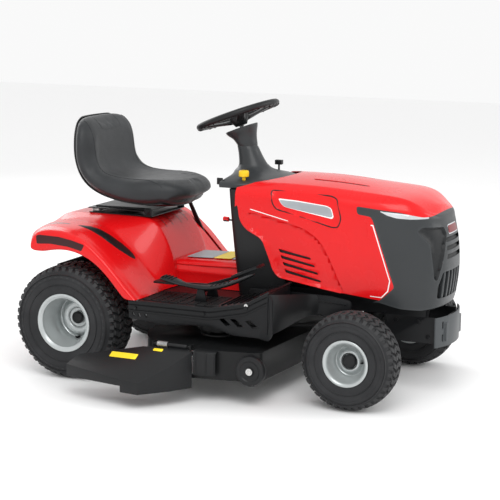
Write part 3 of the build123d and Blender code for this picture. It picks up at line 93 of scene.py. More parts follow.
def add_stage():
    """A plain pale floor with soft light from above and both sides."""
    bm = bmesh.new()
    bmesh.ops.create_grid(bm, x_segments=24, y_segments=24, size=14)
    mesh = bpy.data.meshes.new("floor")
    bm.to_mesh(mesh)
    bm.free()
    floor = bpy.data.objects.new("floor", mesh)
    bpy.context.collection.objects.link(floor)
    material = bpy.data.materials.new("floor_paper")
    material.use_nodes = True
    nodes, links = material.node_tree.nodes, material.node_tree.links
    paper = nodes["Principled BSDF"]
    paper.inputs["Roughness"].default_value = 0.9
    speckle = nodes.new("ShaderNodeTexNoise")
    speckle.inputs["Scale"].default_value = 3.0
    tone = nodes.new("ShaderNodeValToRGB")
    tone.color_ramp.elements[0].color = (0.94, 0.94, 0.94, 1)
    tone.color_ramp.elements[1].color = (0.96, 0.96, 0.96, 1)
    links.new(speckle.outputs["Fac"], tone.inputs["Fac"])
    links.new(tone.outputs["Color"], paper.inputs["Base Color"])
    mesh.materials.append(material)
    world = bpy.data.worlds.new("studio")
    bpy.context.scene.world = world
    world.use_nodes = True
    world.node_tree.nodes["Background"].inputs["Color"].default_value = (1, 1, 1, 1)
    world.node_tree.nodes["Background"].inputs["Strength"].default_value = 0.95
    bpy.context.scene.view_settings.view_transform = "Standard"
    add_area_light("key", (1.5, -3.5, 4.2), (0, 0, 0.4), (3.0, 3.0), 120)
    add_area_light("fill", (4.5, 1.5, 2.4), (0.3, 0, 0.5), (2.5, 2.5), 60)
    add_area_light("rim", (-4.0, 2.5, 3.0), (0, 0, 0.5), (3.0, 3.0), 60)


add_camera()
add_stage()


# ---------------------------------------------------------------- materials
class Shader:
    """A node material made of a colour, layers of variation and a relief."""

    def __init__(self, name, colour, roughness, metallic=0.0, coat=0.0, specular=0.5):
        self.material = bpy.data.materials.new(name)
        self.material.use_nodes = True
        self.nodes = self.material.node_tree.nodes
        self.links = self.material.node_tree.links
        self.bsdf = self.nodes["Principled BSDF"]
        self.bsdf.inputs["Metallic"].default_value = metallic
        self.bsdf.inputs["Coat Weight"].default_value = coat
        self.bsdf.inputs["Coat Roughness"].default_value = 0.06
        self.bsdf.inputs["Specular IOR Level"].default_value = specular
        self.place = self.nodes.new("ShaderNodeTexCoord").outputs["Object"]
        self.colour = self.nodes.new("ShaderNodeRGB").outputs[0]
        self.colour.default_value = (*colour, 1)
        self.rough = self.nodes.new("ShaderNodeValue").outputs[0]
        self.rough.default_value = roughness
        self.normal = None

    def stretched(self, scale):
        """The object coordinates, scaled apart along X, Y and Z."""
        mapping = self.nodes.new("ShaderNodeMapping")
        mapping.inputs["Scale"].default_value = scale
        self.links.new(self.place, mapping.inputs["Vector"])
        return mapping.outputs["Vector"]

    def noise(self, scale, detail=4.0, stretch=None):
        """A noise pattern, its scale in cycles per metre."""
        node = self.nodes.new("ShaderNodeTexNoise")
        node.inputs["Scale"].default_value = scale
        node.inputs["Detail"].default_value = detail
        source = self.stretched(stretch) if stretch else self.place
        self.links.new(source, node.inputs["Vector"])
        return node.outputs["Fac"]

    def cells(self, scale, feature="F1"):
        """A cell pattern, its scale in cells per metre."""
        node = self.nodes.new("ShaderNodeTexVoronoi")
        node.feature = feature
        node.inputs["Scale"].default_value = scale
        self.links.new(self.place, node.inputs["Vector"])
        return node.outputs["Distance"]

    def ramp(self, factor, low, high):
        """A factor stretched so that low becomes 0 and high becomes 1."""
        node = self.nodes.new("ShaderNodeMapRange")
        node.inputs["From Min"].default_value = low
        node.inputs["From Max"].default_value = high
        self.links.new(factor, node.inputs["Value"])
        return node.outputs["Result"]

    def tint(self, factor, colour, amount=1.0):
        """Mixes another colour in where the factor is high."""
        scaled = self.nodes.new("ShaderNodeMath")
        scaled.operation = "MULTIPLY"
        scaled.use_clamp = True
        scaled.inputs[1].default_value = amount
        self.links.new(factor, scaled.inputs[0])
        mix = self.nodes.new("ShaderNodeMix")
        mix.data_type = "RGBA"
        self.links.new(scaled.outputs[0], mix.inputs["Factor"])
        self.links.new(self.colour, mix.inputs["A"])
        mix.inputs["B"].default_value = (*colour, 1)
        self.colour = mix.outputs["Result"]
        return self

    def roughen(self, factor, low, high):
        """Makes the roughness run from low to high with the factor."""
        node = self.nodes.new("ShaderNodeMapRange")
        node.inputs["To Min"].default_value = low
        node.inputs["To Max"].default_value = high
        self.links.new(factor, node.inputs["Value"])
        self.rough = node.outputs["Result"]
        return self

    def relief(self, height, depth, strength=1.0):
        """Adds a bump, its depth in metres."""
        node = self.nodes.new("ShaderNodeBump")
        node.inputs["Distance"].default_value = depth
        node.inputs["Strength"].default_value = strength
        self.links.new(height, node.inputs["Height"])
        if self.normal:
            self.links.new(self.normal, node.inputs["Normal"])
        self.normal = node.outputs["Normal"]
        return self

    def edges(self, colour, amount=0.5):
        """Lightens worn convex edges."""
        geometry = self.nodes.new("ShaderNodeNewGeometry")
        worn = self.ramp(geometry.outputs["Pointiness"], 0.53, 0.62)
        return self.tint(worn, colour, amount)

    def done(self):
        """Links the layers to the shader and returns the material."""
        self.links.new(self.colour, self.bsdf.inputs["Base Color"])
        self.links.new(self.rough, self.bsdf.inputs["Roughness"])
        if self.normal:
            self.links.new(self.normal, self.bsdf.inputs["Normal"])
        return self.material


def paint(name, colour, roughness, grain, coat=0.0, metallic=0.0):
    """Sprayed paint: faint cloudiness and orange peel."""
    s = Shader(name, colour, roughness, metallic=metallic, coat=coat, specular=0.22)
    s.tint(s.ramp(s.noise(2.5), 0.35, 0.75), [c * 0.82 for c in colour], 0.5)
    s.edges([min(1, c * 1.2 + 0.002) for c in colour], 0.3)
    s.roughen(s.noise(9.0), roughness * 0.8, roughness * 1.25)
    return s.relief(s.noise(grain, 2.0), 0.00012, 0.35).done()


def moulding(name, colour, roughness, grain=900.0, depth=0.00018, coat=0.0):
    """Moulded plastic: a fine pebbled grain with slight sheen changes."""
    s = Shader(name, colour, roughness, coat=coat, specular=0.3)
    s.tint(s.ramp(s.noise(5.0), 0.4, 0.8), [c * 1.35 + 0.001 for c in colour], 0.45)
    s.edges([c * 1.6 + 0.002 for c in colour], 0.4)
    s.roughen(s.noise(22.0), roughness * 0.85, roughness * 1.2)
    return s.relief(s.cells(grain), depth, 0.5).done()


def bare_metal(name, colour, roughness, stretch, metallic=1.0):
    """Machined or plated metal: fine drawn lines and dulled patches."""
    s = Shader(name, colour, roughness, metallic=metallic)
    lines = s.noise(240.0, 3.0, stretch)
    s.tint(s.ramp(s.noise(12.0), 0.45, 0.75), [c * 0.6 for c in colour], 0.5)
    s.roughen(lines, roughness * 0.7, roughness * 1.4)
    return s.relief(lines, 0.00005, 0.4).done()


def cast_metal(name, colour):
    """Sand-cast aluminium: pitted, matt and unevenly grey."""
    s = Shader(name, colour, 0.5, metallic=0.85)
    s.tint(s.ramp(s.noise(18.0), 0.4, 0.7), [c * 0.55 for c in colour], 0.6)
    s.roughen(s.noise(40.0), 0.38, 0.62)
    return s.relief(s.cells(500.0), 0.0004, 0.6).done()


def tyre_rubber():
    """Moulded tyre rubber: matt black with grey bloom and fine pitting."""
    s = Shader("tyre_rubber", (0.013, 0.0135, 0.015), 0.58, specular=0.35)
    s.tint(s.ramp(s.noise(9.0), 0.42, 0.75), (0.034, 0.035, 0.037), 0.5)
    s.edges((0.055, 0.055, 0.056), 0.35)
    s.roughen(s.noise(30.0), 0.5, 0.78)
    s.relief(s.noise(420.0, 3.0), 0.00035, 0.6)
    return s.relief(s.cells(160.0), 0.0002, 0.3).done()


def seat_vinyl():
    """Grained vinyl: fine leather cells, broad creases and a soft sheen."""
    s = Shader("seat_vinyl", (0.019, 0.021, 0.023), 0.44, specular=0.35)
    s.tint(s.ramp(s.noise(6.0), 0.4, 0.75), (0.033, 0.036, 0.039), 0.6)
    s.roughen(s.noise(35.0), 0.38, 0.58)
    s.relief(s.cells(650.0, "DISTANCE_TO_EDGE"), 0.00035, 0.55)
    s.relief(s.noise(60.0, 5.0), 0.0006, 0.35)
    s.bsdf.inputs["Sheen Weight"].default_value = 0.04
    return s.done()


RED = (0.72, 0.006, 0.008)
MAT = {
    "red": paint("body_red", RED, 0.26, 260.0, coat=0.25),
    # A darker copy of the body red: painted shade on the top vents' sunk floors and on the pedestal notch
    # and wing groove patches; on the nose badge it is the badge's own colour.
    "shade_and_badge_red": paint("shade_and_badge_red_paint", (0.16, 0.004, 0.006), 0.3, 300.0, coat=0.4),
    "decal": paint("decal_dark", (0.035, 0.003, 0.004), 0.3, 300.0, coat=0.3),
    "grey": moulding("body_grey", (0.028, 0.031, 0.033), 0.38, 1100.0, 0.00010, coat=0.10),
    # A darker copy of the body grey: painted shade for the visor panels and nose louvres set back in their
    # recesses.
    "recess_shade_grey": moulding("recess_shade_grey", (0.010, 0.011, 0.012), 0.45, 1100.0, 0.0001),
    "plastic": moulding("black_plastic", (0.0075, 0.008, 0.0088), 0.40),
    "rubber_mat": moulding("mat_rubber", (0.008, 0.008, 0.0085), 0.6, 700.0, 0.0003),
    "steel": paint("black_steel", (0.0075, 0.008, 0.009), 0.36, 700.0),
    "deck": paint("deck_paint", (0.009, 0.0095, 0.010), 0.34, 800.0),
    "bumper": paint("bumper_paint", (0.060, 0.066, 0.070), 0.40, 600.0),
    "silver": paint("rim_silver", (0.50, 0.53, 0.53), 0.30, 900.0, metallic=0.55),
    "bright": bare_metal("bright_steel", (0.62, 0.62, 0.61), 0.28, (1, 1, 14)),
    "chrome": bare_metal("lamp_chrome", (0.85, 0.87, 0.9), 0.10, (6, 6, 1)),
    "cast": cast_metal("cast_aluminium", (0.42, 0.43, 0.44)),
    "tyre": tyre_rubber(),
    "belt": moulding("belt_rubber", (0.014, 0.014, 0.015), 0.7, 1500.0, 0.0002),
    "vinyl": seat_vinyl(),
    "yellow": moulding("yellow_plastic", (0.80, 0.50, 0.012), 0.38, 900.0, 0.0001),
    "label": moulding("label_yellow", (0.85, 0.62, 0.02), 0.45, 1500.0, 0.00003),
    "white": moulding("stripe_white", (0.80, 0.80, 0.80), 0.4, 1500.0, 0.00003),
    "label_grey": moulding("label_grey", (0.30, 0.32, 0.34), 0.4, 1500.0, 0.00003),
}


# ---------------------------------------------------------------- mesh helpers
def spline(points, steps=6, closed=False):
    """Points along a smooth curve through the given ones."""
    p = [Vector(q) for q in points]
    n = len(p)
    out = []
    for i in range(n if closed else n - 1):
        a = p[(i - 1) % n] if closed or i > 0 else p[0]
        b, c = p[i], p[(i + 1) % n]
        d = p[(i + 2) % n] if closed or i + 2 < n else p[n - 1]
        for k in range(steps):
            t = k / steps
            out.append(
                0.5 * ((2 * b) + (c - a) * t + (2 * a - 5 * b + 4 * c - d) * t * t
                       + (3 * b - a - 3 * c + d) * t * t * t)
            )
    if not closed:
        out.append(p[-1])
    return out


def rounded(points, radius, steps=4):
    """A closed outline with each corner rounded."""
    p = [Vector(q) for q in points]
    out = []
    for i, corner in enumerate(p):
        to_last, to_next = p[i - 1] - corner, p[(i + 1) % len(p)] - corner
        reach = min(radius, to_last.length * 0.45, to_next.length * 0.45)
        start = corner + to_last.normalized() * reach
        end = corner + to_next.normalized() * reach
        for k in range(steps + 1):
            t = k / steps
            out.append(start * (1 - t) ** 2 + corner * 2 * t * (1 - t) + end * t * t)
    return out


def mix(a, b, t):
    """The value a share t of the way from a to b."""
    return a + (b - a) * t


def table(x, rows):
    """Values at x, read smoothly from rows of (x, value, value, ...)."""
    if x <= rows[0][0]:
        return rows[0][1:]
    for low, high in zip(rows, rows[1:]):
        if x <= high[0]:
            t = (x - low[0]) / (high[0] - low[0])
            return tuple(mix(a, b, t) for a, b in zip(low[1:], high[1:]))
    return rows[-1][1:]


def new_object(name, bm, material=None):
    """A mesh object from a bmesh, its normals facing out, its curved faces smooth."""
    bmesh.ops.recalc_face_normals(bm, faces=bm.faces)
    mesh = bpy.data.meshes.new(name)
    bm.to_mesh(mesh)
    bm.free()
    o = bpy.data.objects.new(name, mesh)
    bpy.context.collection.objects.link(o)
    if material:
        mesh.materials.append(MAT[material])
    return o


def apply_modifier(o, kind, **settings):
    """Adds a modifier and makes its result the mesh."""
    modifier = o.modifiers.new(kind.lower(), kind)
    for key, value in settings.items():
        setattr(modifier, key, value)
    evaluated = o.evaluated_get(bpy.context.evaluated_depsgraph_get())
    mesh = bpy.data.meshes.new_from_object(evaluated)
    o.modifiers.clear()
    old, name = o.data, o.data.name
    o.data = mesh
    bpy.data.meshes.remove(old)
    mesh.name = name
    return o


def soften(o, width, segments=2, angle=35):
    """Rounds the sharp edges of a piece."""
    return apply_modifier(
        o, "BEVEL", width=width, segments=segments, limit_method="ANGLE",
        angle_limit=radians(angle), use_clamp_overlap=True, harden_normals=False,
    )


def smooth(o, angle=38):
    """Shades curved faces smooth and keeps sharper edges crisp."""
    o.data.polygons.foreach_set("use_smooth", [True] * len(o.data.polygons))
    o.data.set_sharp_from_angle(angle=radians(angle))
    return o


def boolean(o, cutter, operation="DIFFERENCE"):
    """Cuts or intersects a piece with a cutter, and removes the cutter."""
    apply_modifier(o, "BOOLEAN", object=cutter, operation=operation, solver="EXACT")
    bpy.data.objects.remove(cutter)
    return o


def place(o, body, replaces=(), slot=None, angle=38):
    """Finishes a piece: smooth shading, its body and the nodes it stands for. The slot is not used."""
    smooth(o, angle)
    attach(o, body)
    if replaces:
        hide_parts(*replaces)
    return o


def sheet_mesh(rows, closed=False, caps=False):
    """A bmesh skin over rows of points in metres."""
    bm = bmesh.new()
    grid = [[bm.verts.new(p) for p in row] for row in rows]
    for low, high in zip(grid, grid[1:]):
        count = len(low)
        for i in range(count if closed else count - 1):
            j = (i + 1) % count
            bm.faces.new((low[i], low[j], high[j], high[i]))
    if caps:
        bm.faces.new(grid[0])
        bm.faces.new(list(reversed(grid[-1])))
    return bm


def turned_mesh(profile, centre, steps=72, axis="Y", closed=True):
    """A bmesh turned from (radius, along) points in millimetres, about an axis through centre."""
    rows = []
    for i in range(steps):
        a = 2 * pi * i / steps
        row = []
        for r, along in profile:
            if axis == "Y":
                p = Vector((r * cos(a), along, r * sin(a)))
            elif axis == "Z":
                p = Vector((r * cos(a), r * sin(a), along))
            else:
                p = Vector((along, r * cos(a), r * sin(a)))
            row.append((p + Vector(centre)) * MM)
        rows.append(row)
    rows.append(rows[0])
    bm = sheet_mesh(rows, closed=closed)
    bmesh.ops.remove_doubles(bm, verts=bm.verts, dist=1e-6)
    return bm


def outline_solid(points, low, high, across="Y"):
    """A closed bmesh from an outline in millimetres carried from low to high along an axis."""
    def at(p, depth):
        if across == "Y":
            return Vector((p[0], depth, p[1])) * MM
        if across == "X":
            return Vector((depth, p[0], p[1])) * MM
        return Vector((p[0], p[1], depth)) * MM

    return sheet_mesh([[at(p, low) for p in points], [at(p, high) for p in points]], closed=True, caps=True)


def cutter(points, low, high, across="Y"):
    """A throwaway solid for a boolean."""
    bm = outline_solid(points, low, high, across)
    return new_object("cutter", bm)


def bar_mesh(points, radius, sides=14, closed=False):
    """A round bar along points in millimetres."""
    path = [Vector(p) for p in points]
    rows = []
    side = None
    for i, p in enumerate(path):
        if closed:
            ahead = path[(i + 1) % len(path)] - path[i - 1]
        else:
            ahead = path[min(i + 1, len(path) - 1)] - path[max(i - 1, 0)]
        ahead.normalize()
        if side is None:
            side = ahead.orthogonal().normalized()
        side = (side - ahead * side.dot(ahead)).normalized()
        other = ahead.cross(side)
        r = radius(i / (len(path) - 1)) if callable(radius) else radius
        rows.append(
            [(p + (side * cos(2 * pi * k / sides) + other * sin(2 * pi * k / sides)) * r) * MM
             for k in range(sides)]
        )
    if closed:
        rows.append(rows[0])
    bm = sheet_mesh(rows, closed=True, caps=not closed)
    bmesh.ops.remove_doubles(bm, verts=bm.verts, dist=1e-7)
    return bm


def join_meshes(*parts):
    """Several bmeshes in one."""
    whole = bmesh.new()
    for bm in parts:
        mesh = bpy.data.meshes.new("part")
        bm.to_mesh(mesh)
        bm.free()
        whole.from_mesh(mesh)
        bpy.data.meshes.remove(mesh)
    return whole


def surface_of(o):
    """A search tree of a piece's faces, for laying other pieces on it."""
    bm = bmesh.new()
    bm.from_mesh(o.data)
    tree = BVHTree.FromBMesh(bm)
    bm.free()
    return tree


def laid_on(tree, outline, start, way, lift=0.0, rim=0.0, cell=14, flat="XZ"):
    """A patch of a surface inside an outline in millimetres, seen along a direction.

    Its rim lies on the surface, and inside the rim's width it stands lift proud.
    """
    def spread(p):
        if flat == "XZ":
            return Vector((p[0], 0, p[1])) * MM
        if flat == "YZ":
            return Vector((0, p[0], p[1])) * MM
        return Vector((p[0], p[1], 0)) * MM

    bm = bmesh.new()
    face = bm.faces.new([bm.verts.new(spread(p)) for p in outline])
    if rim:
        bmesh.ops.inset_region(bm, faces=[face], thickness=rim * MM, use_even_offset=True)
    low = [min(v.co[i] for v in bm.verts) for i in range(3)]
    high = [max(v.co[i] for v in bm.verts) for i in range(3)]
    for i in range(3):
        turn = Vector([1.0 if i == k else 0.0 for k in range(3)])
        cut = low[i] + cell * MM
        while cut < high[i]:
            bmesh.ops.bisect_plane(
                bm, geom=bm.verts[:] + bm.edges[:] + bm.faces[:], plane_co=turn * cut, plane_no=turn
            )
            cut += cell * MM
    way = Vector(way).normalized()
    for v in bm.verts:
        origin = v.co + Vector(start) * MM
        spot, normal, _, _ = tree.ray_cast(origin, way)
        if spot is None:
            spot, normal, _, _ = tree.find_nearest(origin + way * abs(Vector(start).dot(way)) * MM)
        if normal.dot(way) > 0:
            normal = -normal
        rise = 0.0 if (rim and v.is_boundary) else lift
        v.co = spot + normal * rise * MM
    return bm


def thicken(o, depth):
    """Gives a sheet its thickness, inwards."""
    return apply_modifier(o, "SOLIDIFY", thickness=depth * MM, offset=-1.0, use_even_offset=True)


def mesh_of(node):
    """A cleaned bmesh of a CAD node."""
    bm = bmesh.new()
    bm.from_mesh(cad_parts[node].data)
    bmesh.ops.remove_doubles(bm, verts=bm.verts, dist=2e-6)
    return bm


def refined(node, body, material, bevel=0.0012, name=None):
    """A copy of a CAD node with its edges rounded, shown in the node's place."""
    bm = mesh_of(node)
    bmesh.ops.dissolve_limit(bm, angle_limit=radians(0.6), verts=bm.verts, edges=bm.edges)
    o = new_object(name or f"{node}_skin", bm, material)
    soften(o, bevel, 2, 30)
    return place(o, body, (node,))


# ---------------------------------------------------------------- wheels
def tyre_profile(radius, half, lip, seat):
    """A turf tyre's section as (radius, across), from one bead over the crown to the other."""
    crown = radius - 9
    side = [
        (lip - 4, seat - 2), (lip + 3, seat + 1), (lip + 9, seat + 3), (mix(lip, crown, 0.30), half - 4),
        (mix(lip, crown, 0.52), half), (mix(lip, crown, 0.72), half - 2), (crown - 20, half - 8),
        (crown - 9, half - 17), (crown - 3, half - 34), (crown, half - 62), (crown, 0),
    ]
    side = [(p.x, p.y) for p in spline([(r, y, 0) for r, y in side], 4)]
    return side + [(r, -y) for r, y in reversed(side[:-1])]


def on_tread(radius, half, across, angle, height):
    """A point over the tread, in the wheel's own axes: across is the distance along the crown."""
    flat = half - 30
    reach = min(abs(across), flat)
    rest = abs(across) - reach
    bend = min(rest / 30, 1.5)
    r = radius - 9 - 4.0 * (reach / flat) ** 2 - 24 * (1 - cos(bend)) - max(0, rest - 45) * 0.9
    y = reach + 27 * sin(min(bend, pi / 2))
    out_r = r + height * cos(min(bend, 1.3))
    out_y = y + height * sin(min(bend, 1.3)) * 0.45
    return Vector((out_r * cos(angle), out_y if across >= 0 else -out_y, out_r * sin(angle)))


def tread_block(bm, centre, radius, half, corners, height):
    """One moulded block, standing on the tread over its four (across, angle) corners."""
    cx = sum(c[0] for c in corners) / 4
    ca = sum(c[1] for c in corners) / 4
    rings = []
    for share, rise in ((1.0, -4.0), (1.0, height * 0.78), (0.86, height)):
        rings.append(
            [bm.verts.new((on_tread(radius, half, cx + (a - cx) * share, ca + (t - ca) * share, rise)
                           + Vector(centre)) * MM) for a, t in corners]
        )
    for low, high in zip(rings, rings[1:]):
        for i in range(4):
            bm.faces.new((low[i], low[(i + 1) % 4], high[(i + 1) % 4], high[i]))
    bm.faces.new(rings[-1])


def add_tyre(name, body, node, centre, radius, width, lip, rim_width, count):
    """A turf tyre: a moulded carcass with rows of slanted blocks and shoulder lugs."""
    half = width / 2 - 3
    seat = rim_width / 2
    carcass = turned_mesh(tyre_profile(radius, half, lip, seat), centre, 120, closed=False)
    for ring in (0.36, 0.60, 0.78):
        r = mix(lip, radius - 9, ring)
        for side in (-1, 1):
            rib = [(r - 1.3, side * (half - 4)), (r, side * (half + 0.8)), (r + 1.3, side * (half - 4))]
            carcass = join_meshes(carcass, turned_mesh(rib, centre, 96))
    blocks = bmesh.new()
    step = 2 * pi / count
    flat = half - 30
    for i in range(count):
        a = i * step
        for row, (low, high) in enumerate(((-0.98, -0.56), (-0.48, -0.04), (0.04, 0.48), (0.56, 0.98))):
            slant = 0.34 * step * (1 if row % 2 else -1)
            start = a + (row % 2) * step / 2
            tread_block(
                blocks, centre, radius, half,
                [(low * flat, start), (high * flat, start + slant),
                 (high * flat, start + slant + step * 0.62), (low * flat, start + step * 0.62)],
                8.0,
            )
        for side in (-1, 1):
            start = a + (0.25 if side > 0 else 0.75) * step
            tread_block(
                blocks, centre, radius, half,
                [(side * (flat + 4), start), (side * (flat + 58), start + step * 0.06),
                 (side * (flat + 58), start + step * 0.50), (side * (flat + 4), start + step * 0.60)],
                6.5,
            )
    whole = new_object(name, join_meshes(carcass, blocks), "tyre")
    place(whole, body, (node,), "tyre_rubber", 32)


def rim_profile(s):
    """A stepped rim's section as (radius, outward) points, for its sizes s."""
    seat, lip, bead = s["seat"], s["lip"], s["bead"]
    drop, web, disc = bead - 14, bead - 34, s["disc"]
    outer = [
        (lip - 2, seat + 6), (lip + 1, seat + 4), (lip + 1, seat + 1), (lip - 6, seat - 1),
        (bead + 1, seat - 4), (bead, seat - 18), (drop, seat - 32), (drop, -(seat - 32)),
        (bead, -(seat - 18)), (bead, -(seat - 2)), (lip, -seat - 2), (lip - 1, -seat - 5),
        (lip - 5, -seat - 4), (bead - 4, -(seat - 5)), (drop - 4, -(seat - 36)), (drop - 4, disc - 12),
        (drop - 6, disc - 12), (drop - 9, disc - 9), (mix(drop, web, 0.7), disc - 7), (web, disc - 2),
        (web - 4, disc + 6), (web - 10, disc + 8), (mix(22, web, 0.55), disc + 8),
        (mix(22, web, 0.44), disc + 5),
        (mix(22, web, 0.36), disc - 1), (26, disc - 3), (20, disc - 3), (20, disc),
        (27, disc), (mix(22, web, 0.34), disc + 2), (mix(22, web, 0.42), disc + 8),
        (mix(22, web, 0.54), disc + 11.5), (web - 8, disc + 11.5), (web - 1, disc + 9),
        (web + 3, disc + 1), (mix(drop, web, 0.6), disc - 3), (drop - 8, disc - 5), (drop - 4, disc - 2),
        (drop - 3, seat - 34), (bead - 4, seat - 18), (bead - 3, seat - 3), (lip - 9, seat + 3),
        (lip - 4, seat + 6),
    ]
    return outer


def add_rim(name, body, node, centre, side, s):
    """A silver rim with its hub cap, hub and valve."""
    profile = [(r, side * y) for r, y in rim_profile(s)]
    steel = new_object(f"{name}_steel", turned_mesh(profile, centre, 96), "silver")
    place(steel, body, (node,), "rim_silver", 45)
    face = s["cap"]
    cap = [(0, face + 2), (8, face + 1.6), (s["cap_r"] - 8, face), (s["cap_r"] - 2, face - 2.5),
           (s["cap_r"], face - 6), (s["cap_r"] - 1, s["disc"] - 2), (0, s["disc"] - 2)]
    cap = [(r, side * y) for r, y in cap]
    place(new_object(f"{name}_cap", turned_mesh(cap, centre, 48), "plastic"), body, (), "black_plastic", 45)
    tube = [(10, -s["tube"]), (20, -s["tube"]), (20, s["disc"]), (10, s["disc"])]
    tube = [(r, side * y) for r, y in tube]
    place(new_object(f"{name}_hub", turned_mesh(tube, centre, 40), "silver"), body, (), "rim_silver", 45)
    a = s["valve_at"]
    foot = Vector(centre) + Vector((cos(a) * (s["bead"] - 18), side * (s["disc"] + 2),
        sin(a) * (s["bead"] - 18)))
    lean = Vector((-cos(a) * 0.35, side, -sin(a) * 0.35)).normalized()
    valve = bar_mesh([foot - lean * 6, foot, foot + lean * 5, foot + lean * 6, foot + lean * 24],
                     lambda t: 7.5 if t < 0.3 else 4.2 if t < 0.8 else 3.4, 16)
    place(new_object(f"{name}_valve", valve, "belt"), body, (), "belt_rubber", 50)


AXLE_X = 586
for name, side in SIDES.items():
    rear = (-AXLE_X, side * 384, 227)
    front = (AXLE_X, side * 383, 186)
    add_tyre(f"tread_rear_{name}", f"rear_wheel_{name}", f"rear_tyre_{name}", rear, 227, 208, 115.5, 177,
        44)
    add_tyre(f"tread_front_{name}", f"front_wheel_{name}", f"front_tyre_{name}", front, 186, 148, 87.3, 127,
        38)
    add_rim(
        f"rear_{name}", f"rear_wheel_{name}", f"rear_rim_{name}", rear, side,
        {"seat": 88.5, "lip": 115.5, "bead": 101.6, "disc": -30, "cap": -14, "cap_r": 25,
         "tube": 92, "valve_at": -pi / 2},
    )
    add_rim(
        f"front_{name}", f"front_wheel_{name}", f"front_rim_{name}", front, side,
        {"seat": 63.5, "lip": 87.3, "bead": 76.2, "disc": 8, "cap": 27, "cap_r": 27,
         "tube": 70, "valve_at": 0.0},
    )
for name, side in SIDES.items():
    shaft = [(0, side * -266), (9.5, side * -266), (9.5, side * -28), (0, side * -28)]
    shaft = turned_mesh(shaft, (-AXLE_X, side * 384, 227), 32)
    place(new_object(f"axle_shaft_{name}", shaft, "bright"), f"rear_wheel_{name}", (), "bright_steel")


# ---------------------------------------------------------------- hood
NOSE_START = 560
HOOD_HALF = [(44, 238, 190), (300, 238, 190), (NOSE_START, 223, 184)]
HOOD_HEIGHT = [
    (44, 764, 797, 817), (231, 764, 801, 819), (303, 763, 801, 819), (407, 760, 797, 816),
    (511, 753, 788, 807), (633, 744, 781, 791), (713, 733, 771, 780), (766, 722, 752, 758),
    (802, 708, 722, 736), (830, 700, 711, 722),
]
NOSE_FRONT = [(300, 828), (340, 842), (400, 858), (477, 866), (560, 862), (640, 852), (700, 839),
    (722, 831)]
NOSE_POWER = 2.9
SIDE_LEVELS = (300, 350, 400, 440, 477, 520, 560, 600, 640)


def hood_outline(z, share):
    """A point of the hood's plan outline at height z: share runs 0..1 from the rear to the nose tip."""
    straight = 0.45
    low_tuck = max(0.0, (430 - z) / 130) ** 1.5 * 14
    if share <= straight:
        x = mix(44, NOSE_START, share / straight)
        return x, table(x, HOOD_HALF)[0] - low_tuck * (x - 44) / 500
    a = (share - straight) / (1 - straight) * pi / 2
    front = table(z, NOSE_FRONT)[0]
    x = NOSE_START + (front - NOSE_START) * sin(a) ** (2 / NOSE_POWER)
    y = (table(NOSE_START, HOOD_HALF)[0] - low_tuck) * max(0.0, cos(a)) ** (2 / NOSE_POWER)
    return x, y


def hood_column(share, side):
    """The hood's skin from its bottom to the crown, at a share of the way to the nose."""
    top_x, _ = hood_outline(700, share)
    shoulder, crease = table(top_x, HOOD_HEIGHT)[:2]
    points = []
    for z in SIDE_LEVELS:
        x, y = hood_outline(z, share)
        points.append((x, side * y, z))
    x, y = hood_outline(min(shoulder, 700), share)
    points.append((x, side * y, shoulder - 26))
    points.append((x - 1.5 * (share > 0.45), side * (y - 2), shoulder - 6))
    inward = Vector((max(0.0, x - 700), y, 0))
    inward.normalize()
    roll = mix(48, 20, min(1, max(0, (x - 600) / 220)))
    ridge = Vector((x, y, 0)) - inward * roll
    points.append((mix(x, ridge.x, 0.35), side * mix(y, ridge.y, 0.35), mix(shoulder, crease, 0.45)))
    points.append((ridge.x, side * ridge.y, crease))
    spine = min(x, 640 + (x - 640) * 0.80) if x > 640 else x
    spine_crown = table(spine, HOOD_HEIGHT)[2]
    for t in (0.12, 0.40, 0.70, 1.0):
        crowned = crease + (spine_crown - crease) * (1 - (1 - t) ** 2)
        points.append((mix(ridge.x, spine, t), side * ridge.y * (1 - t), crowned))
    return [Vector(p) * MM for p in points]


def hood_skin():
    """The whole hood as one smooth closed shell, before it is cut into its panels."""
    shares = [0, 0.03, 0.12, 0.21, 0.30, 0.38, 0.45, 0.52, 0.59, 0.66, 0.73, 0.80, 0.87, 0.93, 1.0]
    rows = [hood_column(s, -1) for s in shares] + [hood_column(s, 1) for s in reversed(shares[:-1])]
    bm = sheet_mesh(rows)
    bmesh.ops.remove_doubles(bm, verts=bm.verts, dist=2e-4)
    crease_row = len(SIDE_LEVELS) + 3
    o = new_object("hood_base", bm)
    o.data.attributes.new("crease_edge", "FLOAT", "EDGE")
    sharp = {round(row[crease_row].x, 6) for row in rows}
    for edge in o.data.edges:
        a, b = (o.data.vertices[i].co for i in edge.vertices)
        on_line = all(
            round(p.x, 6) in sharp and p.z > 0.70 and abs(p.y) > 0.02
            and min((p - row[crease_row]).length for row in rows) < 1e-5
            for p in (a, b)
        )
        o.data.attributes["crease_edge"].data[edge.index].value = 0.55 if on_line else 0.0
    return apply_modifier(o, "SUBSURF", levels=3)


def copy_of(o, name, material):
    """Another object with its own copy of the mesh, in its own material."""
    twin = bpy.data.objects.new(name, o.data.copy())
    twin.data.name = name
    twin.data.materials.append(MAT[material])
    bpy.context.collection.objects.link(twin)
    return twin


